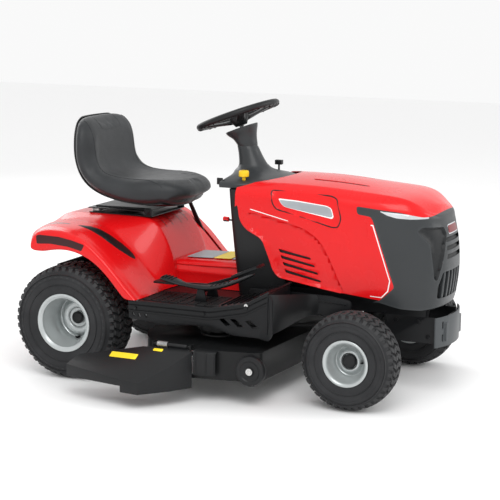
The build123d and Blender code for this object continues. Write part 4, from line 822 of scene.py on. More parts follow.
FAR = 400
HOOD_EDGE = [
    (40, 700), (54, 712), (62, 662), (72, 640), (95, 616), (158, 585), (184, 524), (206, 467), (229, 441),
    (442, 406), (640, 384), (690, 378), (920, 378), (920, 860), (0, 860), (0, 768), (40, 770),
]
GREY_LINE = [
    (536, 737), (650, 727), (700, 723), (784, 704), (812, 707), (832, 727), (940, 727), (940, 250),
    (600, 250),
    (600, 372), (637, 386), (690, 437), (600, 690), (590, 701), (540, 707),
]
LAMP_LINE = [(625, 724), (700, 719), (796, 708), (800, 699), (740, 698), (690, 701), (655, 710)]
WINDOW_LINE = [(190, 776), (434, 768), (459, 758), (478, 684), (466, 652), (444, 650), (216, 706),
    (200, 726)]
LOUVRE_LINE = [
    (88, 690), (190, 672), (330, 640), (392, 600), (430, 540), (462, 470), (500, 396), (440, 407),
    (228, 443),
    (206, 468), (186, 524), (160, 586), (96, 618),
]
base = hood_skin()
tree = surface_of(base)

grey_cut = rounded([(x, 0, z) for x, z in GREY_LINE], 10, 3)
grey_cut = [(p.x, p.z) for p in grey_cut]
lamp_cut = [(p.x, p.z) for p in rounded([(x, 0, z) for x, z in LAMP_LINE], 8, 3)]
window_cut = [(p.x, p.z) for p in rounded([(x, 0, z) for x, z in WINDOW_LINE], 14, 4)]
louvre_cut = [(p.x, p.z) for p in rounded([(x, 0, z) for x, z in LOUVRE_LINE], 46, 6)]
edge_cut = [(p.x, p.z) for p in rounded([(x, 0, z) for x, z in HOOD_EDGE], 12, 3)]


def add_red_hood():
    """The painted hood: the skin cut to its lower line, less the nose, windows and louvre panels."""
    red = copy_of(base, "hood_red", "red")
    thicken(red, 3)
    boolean(red, cutter(edge_cut, -FAR, FAR), "INTERSECT")
    boolean(red, cutter(grey_cut, -FAR, FAR))
    for side in SIDES.values():
        low, high = sorted((side * 150, side * FAR))
        boolean(red, cutter(window_cut, low, high))
        boolean(red, cutter(louvre_cut, low, high))
    ring = [(-18 + 229 * cos(a), 229 * sin(a)) for a in [2 * pi * k / 72 for k in range(72)]]
    boolean(red, cutter(ring, 690, 900, "Z"))
    for side in SIDES.values():
        slot = rounded([(318, side * 96, 0), (534, side * 87, 0), (546, side * 91, 0),
                        (534, side * 101, 0), (330, side * 112, 0), (312, side * 106, 0)], 8, 3)
        boolean(red, cutter([(p.x, p.y) for p in slot], 740, 900, "Z"))
    soften(red, 0.0011, 2, 40)
    place(red, "hood", ("hood_shell",), "body_red", 30)


def add_grey_nose():
    """The grey nose: visor recesses, upper slots and a lower grille."""
    nose = copy_of(base, "nose_grey", "grey")
    thicken(nose, 3)
    boolean(nose, cutter(grey_cut, -FAR, FAR), "INTERSECT")
    floor_line = [(560, 372), (631, 376), (711, 356), (785, 350), (940, 372), (940, 900), (500, 900),
        (500, 372)]
    boolean(nose, cutter(floor_line, -FAR, FAR), "INTERSECT")
    boolean(nose, cutter(lamp_cut, -FAR, -120))
    boolean(nose, cutter(lamp_cut, 120, FAR))
    for side in SIDES.values():
        visor = rounded([(side * y, z, 0) for y, z in VISOR_LINE], 7, 3)
        boolean(nose, cutter([(p.x, p.y) for p in visor], 700, 900, "X"))
    for z in (548, 580, 612):
        slot = rounded([(-86, z - 8, 0), (86, z - 8, 0), (80, z + 9, 0), (-80, z + 9, 0)], 6, 3)
        boolean(nose, cutter([(p.x, p.y) for p in slot], 780, 900, "X"))
    mouth = rounded([(y, z, 0) for y, z in MOUTH_LINE], 12, 4)
    boolean(nose, cutter([(p.x, p.y) for p in mouth], 780, 900, "X"))
    soften(nose, 0.0012, 2, 40)
    place(nose, "hood", ("hood_grille",), "body_grey", 30)


VISOR_LINE = [(84, 662), (176, 668), (188, 652), (160, 600), (150, 470), (138, 462), (92, 590), (74, 636)]
MOUTH_LINE = [(-128, 392), (128, 392), (132, 440), (112, 494), (-112, 494), (-132, 440)]


def add_nose_details():
    """What sits in the nose's openings: visor panels, slats, louvres, a badge and lamp lenses."""
    for name, side in SIDES.items():
        visor = rounded([(side * y, z, 0) for y, z in VISOR_LINE], 7, 3)
        if side < 0:
            visor.reverse()
        # The visor panel's darker grey is painted shade of its recess.
        bm = laid_on(tree, [(p.x, p.y) for p in visor], (1000, 0, 0), (-1, 0, 0), -10, 9, 12, "YZ")
        panel = thicken(new_object(f"visor_{name}", bm, "recess_shade_grey"), 2)
        place(panel, "hood", (), "body_grey", 40)
        lamp = lamp_cut if side < 0 else list(reversed(lamp_cut))
        bm = laid_on(tree, lamp, (0, side * 600, 0), (0, -side, 0), -0.6, 3, 8)
        lens = thicken(new_object(f"lamp_{name}", bm, "chrome"), 2)
        place(lens, "hood", ("headlights",) if side < 0 else (), "lens_clear", 30)
    # The louvre blades' darker grey is painted shade of the slots they sit in.
    for z in (548, 580, 612):
        blade = [(-92, z - 16, 0), (92, z - 16, 0), (92, z + 12, 0), (-92, z + 12, 0)]
        bm = laid_on(tree, [(y, v) for y, v, _ in blade], (1000, 0, 0), (-1, 0, 0), -12, 0, 12, "YZ")
        for v in bm.verts:
            v.co.x += (v.co.z / MM - z) * -0.55 * MM
        place(thicken(new_object(f"nose_louvre_{z}", bm, "recess_shade_grey"), 2.4), "hood", (), "body_grey")
    slats = []
    for i in range(-3, 4):
        y = i * 33
        lean = 3.0 * i
        slat = [(y - 6, 388), (y + 6, 388), (y + 6 + lean * 0.4, 440), (y + 5, 498), (y - 5, 498),
                (y - 6 + lean * 0.4, 440)]
        slats.append(laid_on(tree, slat, (1000, 0, 0), (-1, 0, 0), -1.0, 0, 10, "YZ"))
    grille = thicken(new_object("nose_slats", join_meshes(*slats), "grey"), 16)
    soften(grille, 0.0012, 2, 40)
    place(grille, "hood", (), "body_grey")
    back = laid_on(tree, [(-140, 384), (140, 384), (140, 500), (-140, 500)], (1000, 0, 0), (-1, 0, 0), -22,
        0, 16, "YZ")
    place(thicken(new_object("nose_back_screen", back, "plastic"), 2), "hood", (), "black_plastic")
    for grow, lift, material, name in ((4, 1.2, "chrome", "nose_badge_frame"),
        (0, 2.6, "shade_and_badge_red", "nose_badge")):
        corners = [(-52 - grow, 634 - grow, 0), (52 + grow, 634 - grow, 0), (46 + grow, 662 + grow, 0),
            (-46 - grow, 662 + grow, 0)]
        outline = [(p.x, p.y) for p in rounded(corners, 8, 3)]
        plate = laid_on(tree, outline, (1000, 0, 0), (-1, 0, 0), lift, 0, 10, "YZ")
        place(thicken(new_object(name, plate, material), 1.5), "hood", (), "lens_clear")


def line_on_hood(outline, side, radius, material, name):
    """A round line laid along a closed outline on one side of the hood."""
    corners = rounded([(x, 0, z) for x, z in outline], 14, 5)
    found = []
    for p in corners:
        hit = tree.ray_cast(Vector((p.x, side * 600, p.z)) * MM, Vector((0, -side, 0)))
        if hit[0] is not None:
            found.append(hit[0] / MM + Vector((0, -side * radius * 0.5, 0)))
    place(new_object(name, bar_mesh(found, radius, 8, True), material), "hood", (), "black_plastic")


def add_side_details():
    """Window panels with a grey stripe, louvre panels with slots, and pinstripes, on both sides."""
    louvres = ((226, 552, 356, 527), (234, 528, 372, 499), (243, 502, 386, 471), (252, 474, 398, 442))
    for name, side in SIDES.items():
        def order(points):
            return points if side < 0 else list(reversed(points))
        start, way = (0, side * 600, 0), (0, -side, 0)
        window = laid_on(tree, order(window_cut), start, way, -5.5, 5, 16)
        panel = thicken(new_object(f"window_{name}", window, "red"), 2)
        place(panel, "hood", (), "body_red")
        glossy = [(222, 748), (300, 744), (418, 731), (438, 722), (447, 690), (441, 682), (250, 716),
            (234, 728)]
        glossy = [(p.x, p.z) for p in rounded([(x, 0, z) for x, z in glossy], 8, 3)]
        border = laid_on(tree, order(glossy), start, way, -4.9, 0, 18)
        place(thicken(new_object(f"window_edge_{name}", border, "white"), 0.8), "hood", (), "body_grey")
        inner = [(x + (335 - x) * 0.035, z + (716 - z) * 0.16) for x, z in glossy]
        shine = laid_on(tree, order(inner), start, way, -4.2, 0, 18)
        place(thicken(new_object(f"window_plate_{name}", shine, "label_grey"), 0.8), "hood", (),
            "body_grey")
        # Painted shade: a thin black bar along the window recess's outline stands in for the shade in its
        # step.
        line_on_hood(WINDOW_LINE, side, 2.6, "plastic", f"window_rim_shade_{name}")
        lower = laid_on(tree, order(louvre_cut), start, way, -7.0, 11, 14)
        lower = thicken(new_object(f"louvre_panel_{name}", lower, "red"), 2.5)
        for x0, z0, x1, z1 in louvres:
            slot = rounded([(x0, 0, z0), (x1, 0, z1), (x1 + 4, 0, z1 - 9), (x0 + 6, 0, z0 - 13)], 4, 3)
            low, high = sorted((side * 180, side * FAR))
            boolean(lower, cutter([(p.x, p.z) for p in slot], low, high))
        soften(lower, 0.0008, 2, 45)
        place(lower, "hood", (), "body_red", 30)
        fins = []
        for x0, z0, x1, z1 in louvres:
            fin = [(x0 - 4, z0 - 12), (x0 - 4, z0 - 4), (x1 + 4, z1 - 1), (x1 + 6, z1 - 9)]
            bm = laid_on(tree, order(fin), start, way, -14, 0, 30)
            fins.append(bm)
        fins = thicken(new_object(f"louvre_fins_{name}", join_meshes(*fins), "plastic"), 6)
        place(fins, "hood", (), "black_plastic")
        stripe = [(594, 667), (601, 667), (671, 462), (664, 424), (641, 398), (598, 400), (598, 397),
                  (643, 395), (668, 422), (675, 462), (604, 671), (594, 671)]
        pin = laid_on(tree, order(stripe), start, way, 0.5, 0, 20)
        place(new_object(f"pinstripe_{name}", pin, "white"), "hood", (), "body_red")
        flash = [(110, 700), (266, 665), (268, 662), (108, 697)]
        pin = laid_on(tree, order(flash), start, way, 0.5, 0, 20)
        place(new_object(f"crease_stripe_{name}", pin, "white"), "hood", (), "body_red")
        # Painted shade: each top vent's sunk floor is a darker red for the shade inside the slot.
        slot = rounded([(314, side * 95, 0), (538, side * 86, 0), (550, side * 91, 0),
                        (536, side * 104, 0), (330, side * 116, 0), (308, side * 107, 0)], 8, 3)
        slot = order([(p.x, p.y) for p in slot])
        sunk = laid_on(tree, list(reversed(slot)), (0, 0, 1000), (0, 0, -1), -9, 5, 20, "XY")
        place(thicken(new_object(f"top_vent_shade_{name}", sunk, "shade_and_badge_red"), 2), "hood", (), "body_red")


add_red_hood()
add_grey_nose()
add_nose_details()
add_side_details()
bpy.data.objects.remove(base)


# ---------------------------------------------------------------- rear fender
WING_PATH = [
    (-805, 528), (-800, 556), (-770, 580), (-700, 597), (-600, 597), (-540, 586), (-483, 562),
    (-395, 490), (-345, 435), (-300, 385), (-262, 350),
]
PEDESTAL_PATH = [
    (-792, 528), (-786, 575), (-767, 614), (-700, 620), (-600, 620), (-520, 620), (-430, 620),
    (-352, 616), (-312, 570), (-264, 480), (-244, 350),
]
ARCH_PATH = [
    (-803, 516), (-790, 508), (-748, 506), (-690, 507), (-610, 521), (-533, 519), (-445, 483),
    (-379, 421), (-338, 372), (-316, 348), (-300, 348),
]


def fender_row(i, side):
    """One section of the fender, from the arch's lip over the wing to the centre of the pedestal."""
    wing, core, arch = (Vector((path[i][0], path[i][1])) for path in (WING_PATH, PEDESTAL_PATH, ARCH_PATH))
    row = [(466, arch), (476, arch), (479, mix(arch, wing, 0.12)), (480, mix(arch, wing, 0.55))]
    row += [(479, mix(arch, wing, 0.82)), (472, mix(arch, wing, 0.95)), (458, mix(arch, wing, 1.0))]
    inset = (wing - arch).normalized() * 7
    row += [(438, wing + inset * 0.35), (425, wing + inset), (300, wing + inset)]
    row += [(262, mix(wing, core, 0.04) + inset), (250, mix(wing, core, 0.10) + inset * 0.5)]
    row += [(200, mix(wing, core, 0.55)), (160, mix(wing, core, 0.93)), (152, core), (140, core),
        (60, core), (0, core)]
    points = []
    for y, p in row:
        share = max(0.0, (y - 240) / 240) ** 2
        rear = min(1.0, max(0.0, (-640 - p.x) / 160))
        points.append(Vector((p.x + 76 * share * rear, side * y, p.y)) * MM)
    return points


def add_fender():
    """The one-piece red fender: wings, pedestal, tunnel and the inlay on each wing."""
    rows = []
    for i in range(len(WING_PATH)):
        right = fender_row(i, -1)
        left = fender_row(i, 1)
        rows.append(right + list(reversed(left[:-1])))
    fender = new_object("fender_red", sheet_mesh(rows), "red")
    apply_modifier(fender, "SUBSURF", levels=3)
    skin = surface_of(fender)
    slot_box = cutter([(-480, 380), (-283, 380), (-283, 570), (-480, 570)], 394, 416)
    thicken(fender, 3.5)
    boolean(fender, slot_box)
    place(fender, "chassis", ("rear_fender",), "body_red", 40)
    tunnel_section = [
        (130, 349), (131, 392), (136, 404), (137, 416), (131, 427), (127, 440), (118, 451), (100, 456),
        (50, 458), (0, 458)
    ]
    rows = []
    for x, rise in ((-262, -2), (-250, -1), (-120, 2), (0, 6), (60, 8), (74, 8), (76, 4)):
        half = [(y, z + (rise if z > 430 else 0)) for y, z in tunnel_section]
        ring = [(-y, z) for y, z in half] + [(y, z) for y, z in reversed(half[:-1])]
        rows.append([Vector((x, y, z)) * MM for y, z in ring])
    tunnel = new_object("tunnel_red", sheet_mesh(rows), "red")
    apply_modifier(tunnel, "SUBSURF", levels=2)
    thicken(tunnel, 3)
    place(tunnel, "chassis", (), "body_red", 40)
    for index, (low, high, colour) in enumerate(((-236, -120, "label_grey"), (-116, -40, "label"),
        (-36, 40, "label_grey"))):
        corners = rounded([(low, -84, 0), (high, -84, 0), (high, 84, 0), (low, 84, 0)], 6, 3)
        slope = [Vector((p.x, p.y, 459.4 + (p.x + 262) * 0.026)) * MM for p in corners]
        bm = bmesh.new()
        bm.faces.new([bm.verts.new(p) for p in slope])
        tag = thicken(new_object(f"tunnel_plate_{index}", bm, colour), -0.8)
        place(tag, "chassis", (), "body_grey")
    for name, side in SIDES.items():
        inlay = [(-592, 352), (-560, 326), (-520, 302), (-460, 284), (-410, 271), (-378, 268), (-366, 280),
                 (-385, 305), (-420, 332), (-452, 346), (-510, 359), (-560, 362)]
        outline = [(p.x, side * p.y) for p in rounded([(x, y, 0) for x, y in inlay], 10, 3)]
        if side < 0:
            outline.reverse()
        bm = laid_on(skin, outline, (0, 0, 900), (0, 0, -1), 1.6, 3, 14, "XY")
        dark = thicken(new_object(f"wing_inlay_{name}", bm, "plastic"), 1.5)
        place(dark, "chassis", (), "black_plastic", 40)
        band = [(-704, 568), (-690, 573), (-600, 571), (-540, 561), (-487, 547), (-500, 522), (-560, 535),
                (-640, 541), (-700, 537)]
        band = rounded([(x, 0, z) for x, z in band], 6, 3)
        band = [(p.x, p.z) for p in band]
        if side > 0:
            band.reverse()
        bm = laid_on(skin, band, (0, side * 700, 0), (0, -side, 0), 0.5, 0, 14)
        place(new_object(f"wing_band_{name}", bm, "decal"), "chassis", (), "body_red")
    for side in SIDES.values():
        rib = bar_mesh([(-258, side * 128, 438), (-120, side * 131, 440), (30, side * 131, 444),
            (66, side * 129, 445)], 5, 12)
        place(new_object(f"tunnel_rib_{'right' if side < 0 else 'left'}", rib, "red"), "chassis", (),
            "body_red")


def add_fender_details():
    """Painted shade: flat dark red patches for the notches at the top of the pedestal's front, and for a
    groove behind each wing's rim.
    """
    fender = bpy.data.objects["fender_red"]
    skin = surface_of(fender)
    for index, y in enumerate((-96, -38, 38, 96)):
        # Painted shade: a flat dark red patch stands in for the shade inside a notch.
        notch = [(y - 3.5, 612), (y + 3.5, 612), (y + 2.5, 578), (y - 1.5, 574)]
        bm = laid_on(skin, notch, (400, 0, 0), (-1, 0, 0), 0.6, 0, 8, "YZ")
        if bm.faces:
            place(new_object(f"pedestal_notch_shade_{index}", bm, "shade_and_badge_red"), "chassis", (), "body_red")
        else:
            bm.free()
    for name, side in SIDES.items():
        # Painted shade: a flat dark red patch stands in for the shade inside the groove.
        groove = [(-740, 330), (-700, 338), (-640, 342), (-618, 350), (-624, 362), (-660, 366), (-716, 362),
            (-742, 350)]
        outline = [(p.x, side * p.y) for p in rounded([(x, y, 0) for x, y in groove], 10, 3)]
        if side < 0:
            outline.reverse()
        bm = laid_on(skin, outline, (0, 0, 900), (0, 0, -1), 0.7, 2, 12, "XY")
        place(new_object(f"wing_groove_shade_{name}", bm, "shade_and_badge_red"), "chassis", (), "body_red", 40)


add_fender()
add_fender_details()


# ---------------------------------------------------------------- footboards
BOARD_TOP = 347
BOARD_LINE = [(-300, 347), (49, 347), (193, 379), (285, 430)]


def board_edge(x, drop=0):
    """The height of the board's outer edge at x, less a drop."""
    return table(x, [(p[0], p[1]) for p in BOARD_LINE])[0] - drop


def add_footboard(name, side):
    """A footboard: mat with ribs, banded outer skirt with slots, splash wall and inner panel."""
    stations = [-262, -258, -150, 0, 40, 58, 120, 186, 200, 240, 280, 285]
    body = "chassis"
    rows = []
    for y in (134, 138, 250, 440, 462, 468):
        low = 5 if y in (134, 468) else 0
        rows.append([Vector((x, side * y, board_edge(x) - low)) * MM for x in stations
            if y >= 246 or x <= 49])
    rows = [row if len(row) == len(stations) else row + [row[-1]] * (len(stations) - len(row))
        for row in rows]
    bm = sheet_mesh(rows)
    bmesh.ops.remove_doubles(bm, verts=bm.verts, dist=1e-6)
    top = thicken(new_object(f"board_{name}", bm, "steel"), 4)
    place(top, body, (f"footboard_{name}",), "black_steel", 30)
    pieces = []
    for low, high, out in ((-1, 15, 470), (18.5, 35, 470), (38.5, 47, 467)):
        xs = [x for x in range(-300, 286, 15)] + [285]
        outline = [(x, board_edge(x, low) - (0 if low > 0 else 3)) for x in xs]
        outline += [(x, board_edge(x, high)) for x in reversed(xs)]
        low_y, high_y = sorted((side * (out - 5), side * out))
        pieces.append(outline_solid(outline, low_y, high_y))
    bands = new_object(f"skirt_bands_{name}", join_meshes(*pieces), "steel")
    soften(bands, 0.0022, 3, 50)
    place(bands, body, (), "black_steel", 40)
    lower = [(-300, 340), (49, 342), (193, 372), (285, 424), (300, 400), (302, 262), (284, 240), (247, 250),
             (141, 250), (49, 277), (-162, 264), (-300, 274)]
    lower = [(p.x, p.z) for p in rounded([(x, 0, z) for x, z in lower], 10, 3)]
    low_y, high_y = sorted((side * 458, side * 464))
    skirt = new_object(f"skirt_{name}", outline_solid(lower, low_y, high_y), "steel")
    for x in (78, 128, 190):
        slot = [(x, 312), (x + 22, 314), (x + 56, 288), (x + 34, 284)]
        slot = [(p.x, p.z) for p in rounded([(u, 0, v) for u, v in slot], 5, 3)]
        boolean(skirt, cutter(slot, low_y - 20, high_y + 20))
    for x in (-286, -262, -232):
        slot = [(x, 296), (x + 8, 297), (x + 14, 284), (x + 6, 283)]
        boolean(skirt, cutter(slot, low_y - 20, high_y + 20))
    soften(skirt, 0.0014, 2, 40)
    place(skirt, body, (), "black_steel", 35)
    ribs = bmesh.new()
    for row in range(9):
        y = 262 + row * 21
        for x in range(-250, 30, 38):
            outline = rounded([(x, y, 0), (x + 34, y, 0), (x + 34, y + 13, 0), (x, y + 13, 0)], 3, 2)
            outline = [(p.x, side * p.y) for p in outline]
            stud = outline_solid(outline, BOARD_TOP - 1, BOARD_TOP + 3.2, "Z")
            mesh = bpy.data.meshes.new("stud")
            stud.to_mesh(mesh)
            stud.free()
            ribs.from_mesh(mesh)
            bpy.data.meshes.remove(mesh)
    mat = new_object(f"mat_{name}", ribs, "rubber_mat")
    soften(mat, 0.0009, 2, 40)
    place(mat, body, (), "belt_rubber", 40)
    treads = []
    for k in range(7):
        x = 84 + k * 26
        z = board_edge(x)
        a = Vector((x, side * 262, z + 2.5))
        b = Vector((x, side * 444, z + 2.5))
        treads.append(bar_mesh([a, (a + b) / 2, b], 3.4, 8))
    place(new_object(f"ramp_ribs_{name}", join_meshes(*treads), "steel"), body, (), "black_steel", 40)
    wall = [(246, 296), (469, 262), (469, 424), (246, 422)]
    low, high = 280, 284
    wall = rounded([(side * y, z, 0) for y, z in wall], 12, 3)
    splash = new_object(f"splash_{name}", outline_solid([(p.x, p.y) for p in wall], low, high, "X"),
        "steel")
    soften(splash, 0.0012, 2, 40)
    place(splash, body, (), "black_steel", 40)
    panel = [(100, 300), (100, 386), (440, 384), (524, 372), (524, 306)]
    panel = [(p.x, p.z) for p in rounded([(x, 0, z) for x, z in panel], 14, 3)]
    low_y, high_y = sorted((side * 215, side * 220))
    inner = new_object(f"inner_panel_{name}", outline_solid(panel, low_y, high_y), "steel")
    rib_line = [(120, 372), (300, 372), (508, 360), (508, 352), (300, 364), (120, 364)]
    low_y, high_y = sorted((side * 219, side * 224))
    rib = outline_solid(rib_line, low_y, high_y)
    ribs = new_object(f"inner_panel_rib_{name}", rib, "steel")
    soften(ribs, 0.0016, 2, 40)
    place(ribs, body, (), "black_steel", 40)
    soften(inner, 0.0014, 2, 40)
    place(inner, body, (), "black_steel", 40)


for name, side in SIDES.items():
    add_footboard(name, side)


# ---------------------------------------------------------------- dash tower, console and column
def add_dash_tower():
    """The dark tower behind the hood, with side wings that fill the gap under the hood's edge."""
    levels = [
        (349, 38, 200, 252), (372, 37, 202, 250), (420, 33, 208, 244), (470, 29, 214, 236),
        (526, 24, 220, 216),
        (590, 19, 224, 150), (640, 14, 226, 112), (700, 9, 227, 90), (752, 5, 228, 80), (768, 4, 228, 80),
    ]
    rows = []
    for z, rear, half, ahead in levels:
        ring = []
        for side in (1, -1):
            line = [(ahead, half - 3), (mix(rear, ahead, 0.6), half - 1), (rear + 46, half),
                (rear + 24, half - 1),
                    (rear + 8, half - 8), (rear + 1, half - 24), (rear, half - 50), (rear, 100), (rear, 40)]
            line = [(x, side * y) for x, y in line]
            ring += line if side > 0 else list(reversed(line))
        rows.append([Vector((x, y, z)) * MM for x, y in ring])
    tower = new_object("dash_tower", sheet_mesh(rows), "plastic")
    apply_modifier(tower, "SUBSURF", levels=2)
    thicken(tower, 3.5)
    boolean(tower, cutter([(-131, 340), (131, 340), (131, 470), (-131, 470)], -60, 120, "X"))
    boolean(tower, cutter([(-187, 628), (-173, 628), (-173, 664), (-187, 664)], -60, 60, "X"))
    soften(tower, 0.0012, 2, 50)
    place(tower, "chassis", ("dash_cover",), "black_plastic", 40)


def add_console():
    """The grey console that carries the column, the key, the switch and the knobs."""
    def ring(radius, rear, half, z):
        points = []
        for k in range(48):
            a = 2 * pi * k / 48
            x = -18 + radius * cos(a)
            y = radius * sin(a)
            points.append((max(x, rear + 6 * abs(sin(a)) ** 8), max(-half, min(half, y)), z))
        return points

    rows = []
    for radius, rear, half, z, lift in (
        (222, -39, 213, 771, 0), (224, -40, 215, 776, 0), (224, -40, 215, 786, 0), (221, -38, 212, 792, 3),
        (205, -34, 196, 797, 8), (168, -32, 150, 806, 12),
    ):
        points = []
        for x, y, h in ring(radius, rear, half, z):
            nose = max(0.0, (x - 60) / 160)
            points.append(Vector((x, y, h + lift * nose)) * MM)
        rows.append(points)
    for size_x, size_y, centre, z in ((96, 92, 34, 817), (72, 68, 26, 826), (64, 58, 21, 836),
        (60, 55, 20, 842)):
        rows.append([Vector((centre + size_x * cos(2 * pi * k / 48), size_y * sin(2 * pi * k / 48), z)) * MM
                     for k in range(48)])
    console = new_object("console_grey", sheet_mesh(rows, closed=True), "grey")
    apply_modifier(console, "SUBSURF", levels=1)
    thicken(console, 3)
    slot = [(38, 116), (112, 116), (112, 128), (38, 128)]
    boolean(console, cutter(slot, 780, 850, "Z"))
    place(console, "chassis", ("dash_console",), "body_grey", 45)
    rows = []
    for z, x, a, b in (
        (838, 20, 62, 56), (846, 17, 57, 51), (870, 8, 50, 46), (900, -2, 44, 41), (915, -8, 43, 40),
        (917, -9, 40, 37), (920, -10, 43, 40), (940, -17, 45, 42), (955, -23, 50, 46), (968, -29, 58, 54),
        (980, -34, 64, 60), (986, -36, 65, 61), (985, -36, 60, 56), (975, -33, 54, 50),
    ):
        tilt = 0.38 * min(1.0, max(0.0, (z - 920) / 50))
        ring = [(x + a * cos(2 * pi * k / 40), b * sin(2 * pi * k / 40)) for k in range(40)]
        rows.append([Vector((u, v, z + (u - x) * tilt)) * MM for u, v in ring])
    cowl = new_object("cowl_dark", sheet_mesh(rows, closed=True), "grey")
    apply_modifier(cowl, "SUBSURF", levels=1)
    thicken(cowl, 3)
    place(cowl, "chassis", ("column_cowl",), "body_grey", 40)
    rib = bar_mesh([(-38, -150, 788), (-38, -150, 776)], 9, 16)
    place(new_object("key_collar", rib, "bright"), "chassis", (), "bright_steel")
    switch = outline_solid([(-36, 768), (-20, 770), (-22, 800), (-38, 796)], -196, -176)
    switch = new_object("light_switch", switch, "plastic")
    soften(switch, 0.002, 3, 30)
    place(switch, "chassis", (), "black_plastic")


add_dash_tower()
add_console()


# ---------------------------------------------------------------- steering wheel
WHEEL_TILT = radians(20.9)
WHEEL_HUB = Vector((-52, 0, 1036))
WHEEL_UP = Vector((-sin(WHEEL_TILT), 0, cos(WHEEL_TILT)))
WHEEL_AHEAD = Vector((cos(WHEEL_TILT), 0, sin(WHEEL_TILT)))


def on_wheel(ahead, left, up):
    """A point in millimetres, from distances in the steering wheel's own plane."""
    return WHEEL_HUB + WHEEL_AHEAD * ahead + Vector((0, left, 0)) + WHEEL_UP * up


def add_steering_wheel():
    """A thick padded rim, three dished spokes and a capped hub with a red insert."""
    rim = bar_mesh([on_wheel(161 * cos(a), 161 * sin(a), 0) for a in (2 * pi * k / 72 for k in range(72))],
        12.9, 18, True)
    rim = new_object("steering_rim", rim, "plastic")
    place(rim, "steering", ("steering_wheel",), "black_plastic")
    grips = []
    for k in range(36):
        a = 2 * pi * (k + 0.5) / 36
        if min(abs(a - pi), abs(a - pi / 3), abs(a - 5 * pi / 3)) < 0.2:
            continue
        centre = on_wheel(161 * cos(a), 161 * sin(a), 0)
        outward = (centre - WHEEL_HUB).normalized()
        arc = [centre + 13.2 * (outward * cos(b) + WHEEL_UP * -sin(b))
            for b in (0.7 + 0.24 * j for j in range(8))]
        grips.append(bar_mesh(arc, 1.3, 6))
    place(new_object("steering_grips", join_meshes(*grips), "plastic"), "steering", (), "black_plastic")
    for index, turn in enumerate((pi, pi / 3, 5 * pi / 3)):
        rows = []
        for reach, half, up, thick in (
            (26, 22, -22, 12), (50, 20, -20, 9), (90, 18, -13, 7), (125, 19, -6, 7), (145, 23, -2, 8),
            (158, 26, 0, 9),
        ):
            ring = []
            for k in range(16):
                b = 2 * pi * k / 16
                across = half * cos(b)
                depth = up + thick * sin(b) * (0.65 + 0.35 * abs(sin(b)))
                ahead = reach * cos(turn) - across * sin(turn)
                left = reach * sin(turn) + across * cos(turn)
                ring.append(on_wheel(ahead, left, depth) * MM)
            rows.append(ring)
        spoke = new_object(f"steering_spoke_{index}", sheet_mesh(rows, closed=True, caps=True), "plastic")
        apply_modifier(spoke, "SUBSURF", levels=1)
        place(spoke, "steering", (), "black_plastic")
    for name, material, profile in (
        ("steering_hub", "plastic", ((0, -44), (24, -44), (30, -34), (36, -22), (40, -10), (38, 0), (33, 5),
        (24, 5), (23, 3), (0, 3))),
        ("steering_insert", "red", ((0, 3.4), (30, 3.4), (32, 5), (29, 8), (16, 10.5), (0, 11.2))),
    ):
        rows = []
        for radius, up in profile:
            ring = [on_wheel(max(radius, 0.2) * cos(2 * pi * k / 40),
                max(radius, 0.2) * sin(2 * pi * k / 40), up) * MM
                    for k in range(40)]
            rows.append(ring)
        place(new_object(name, sheet_mesh(rows, closed=True, caps=True), material), "steering", (),
            "black_plastic")


add_steering_wheel()


# ---------------------------------------------------------------- seat
SEAT_STATIONS = [
    # front x, front z, back x, back z, half width, edge depth, bolster rise
    (-676, 1012, -704, 1012, 96, 12, 0),
    (-660, 1006, -717, 1005, 150, 20, 0),
    (-644, 994, -728, 992, 184, 27, 1),
    (-632, 972, -733, 972, 208, 31, 3),
    (-626, 942, -735, 942, 223, 34, 5),
    (-623, 905, -734, 905, 230, 36, 7),
    (-621, 868, -730, 868, 233, 38, 8),
    (-616, 836, -723, 836, 234, 39, 8),
    (-604, 806, -710, 796, 234, 42, 8),
    (-584, 786, -690, 752, 234, 44, 8),
    (-556, 774, -652, 713, 234, 48, 8),
    (-520, 767, -588, 685, 234, 56, 7),
    (-470, 764, -505, 668, 233, 64, 5),
    (-420, 765, -432, 661, 230, 70, 4),
    (-370, 768, -378, 659, 226, 74, 3),
    (-320, 770, -332, 659, 220, 76, 2),
    (-275, 769, -298, 661, 212, 74, 1),
    (-240, 765, -280, 664, 204, 68, 0),
    (-216, 752, -266, 668, 194, 60, 0),
    (-206, 732, -256, 672, 184, 46, 0),
    (-203, 708, -246, 678, 172, 26, 0),
]


def bowed(p):
    """The seat's front edge in plan: points near the front move back as they near the sides."""
    near_front = min(1.0, max(0.0, (p.x + 430) / 190))
    back = 58 * near_front * (abs(p.y) / 184) ** 3.2
    return Vector((p.x - min(back, 80), p.y, p.z))


def seat_section(station, inset):
    """A closed loop through the seat at one station, drawn in by an inset."""
    fx, fz, kx, kz, half, edge, rise = station
    front = Vector((fx, 0, fz))
    depth_way = Vector((kx - fx, 0, kz - fz))
    depth = depth_way.length - inset
    depth_way.normalize()
    half -= inset * 0.6
    line = [
        (0, 5), (0.22, 4), (0.45, 2), (0.62, 1 - rise * 0.5), (0.70, -rise), (0.78, -rise),
        (0.87, 4 - rise * 0.6),
        (0.94, edge * 0.30), (0.985, edge * 0.62), (1.0, edge), (0.985, mix(edge, depth, 0.10)),
        (0.92, mix(edge, depth, 0.24)), (0.80, mix(edge, depth, 0.48)), (0.60, mix(edge, depth, 0.76)),
        (0.30, mix(edge, depth, 0.96)), (0, depth),
    ]
    right = [front + depth_way * max(d, 0.5 - rise) + Vector((0, -half * y, 0)) for y, d in line]
    left = [front + depth_way * max(d, 0.5 - rise) + Vector((0, half * y, 0)) for y, d in line[1:-1]]
    return [bowed(p) * MM for p in right + left[::-1]]


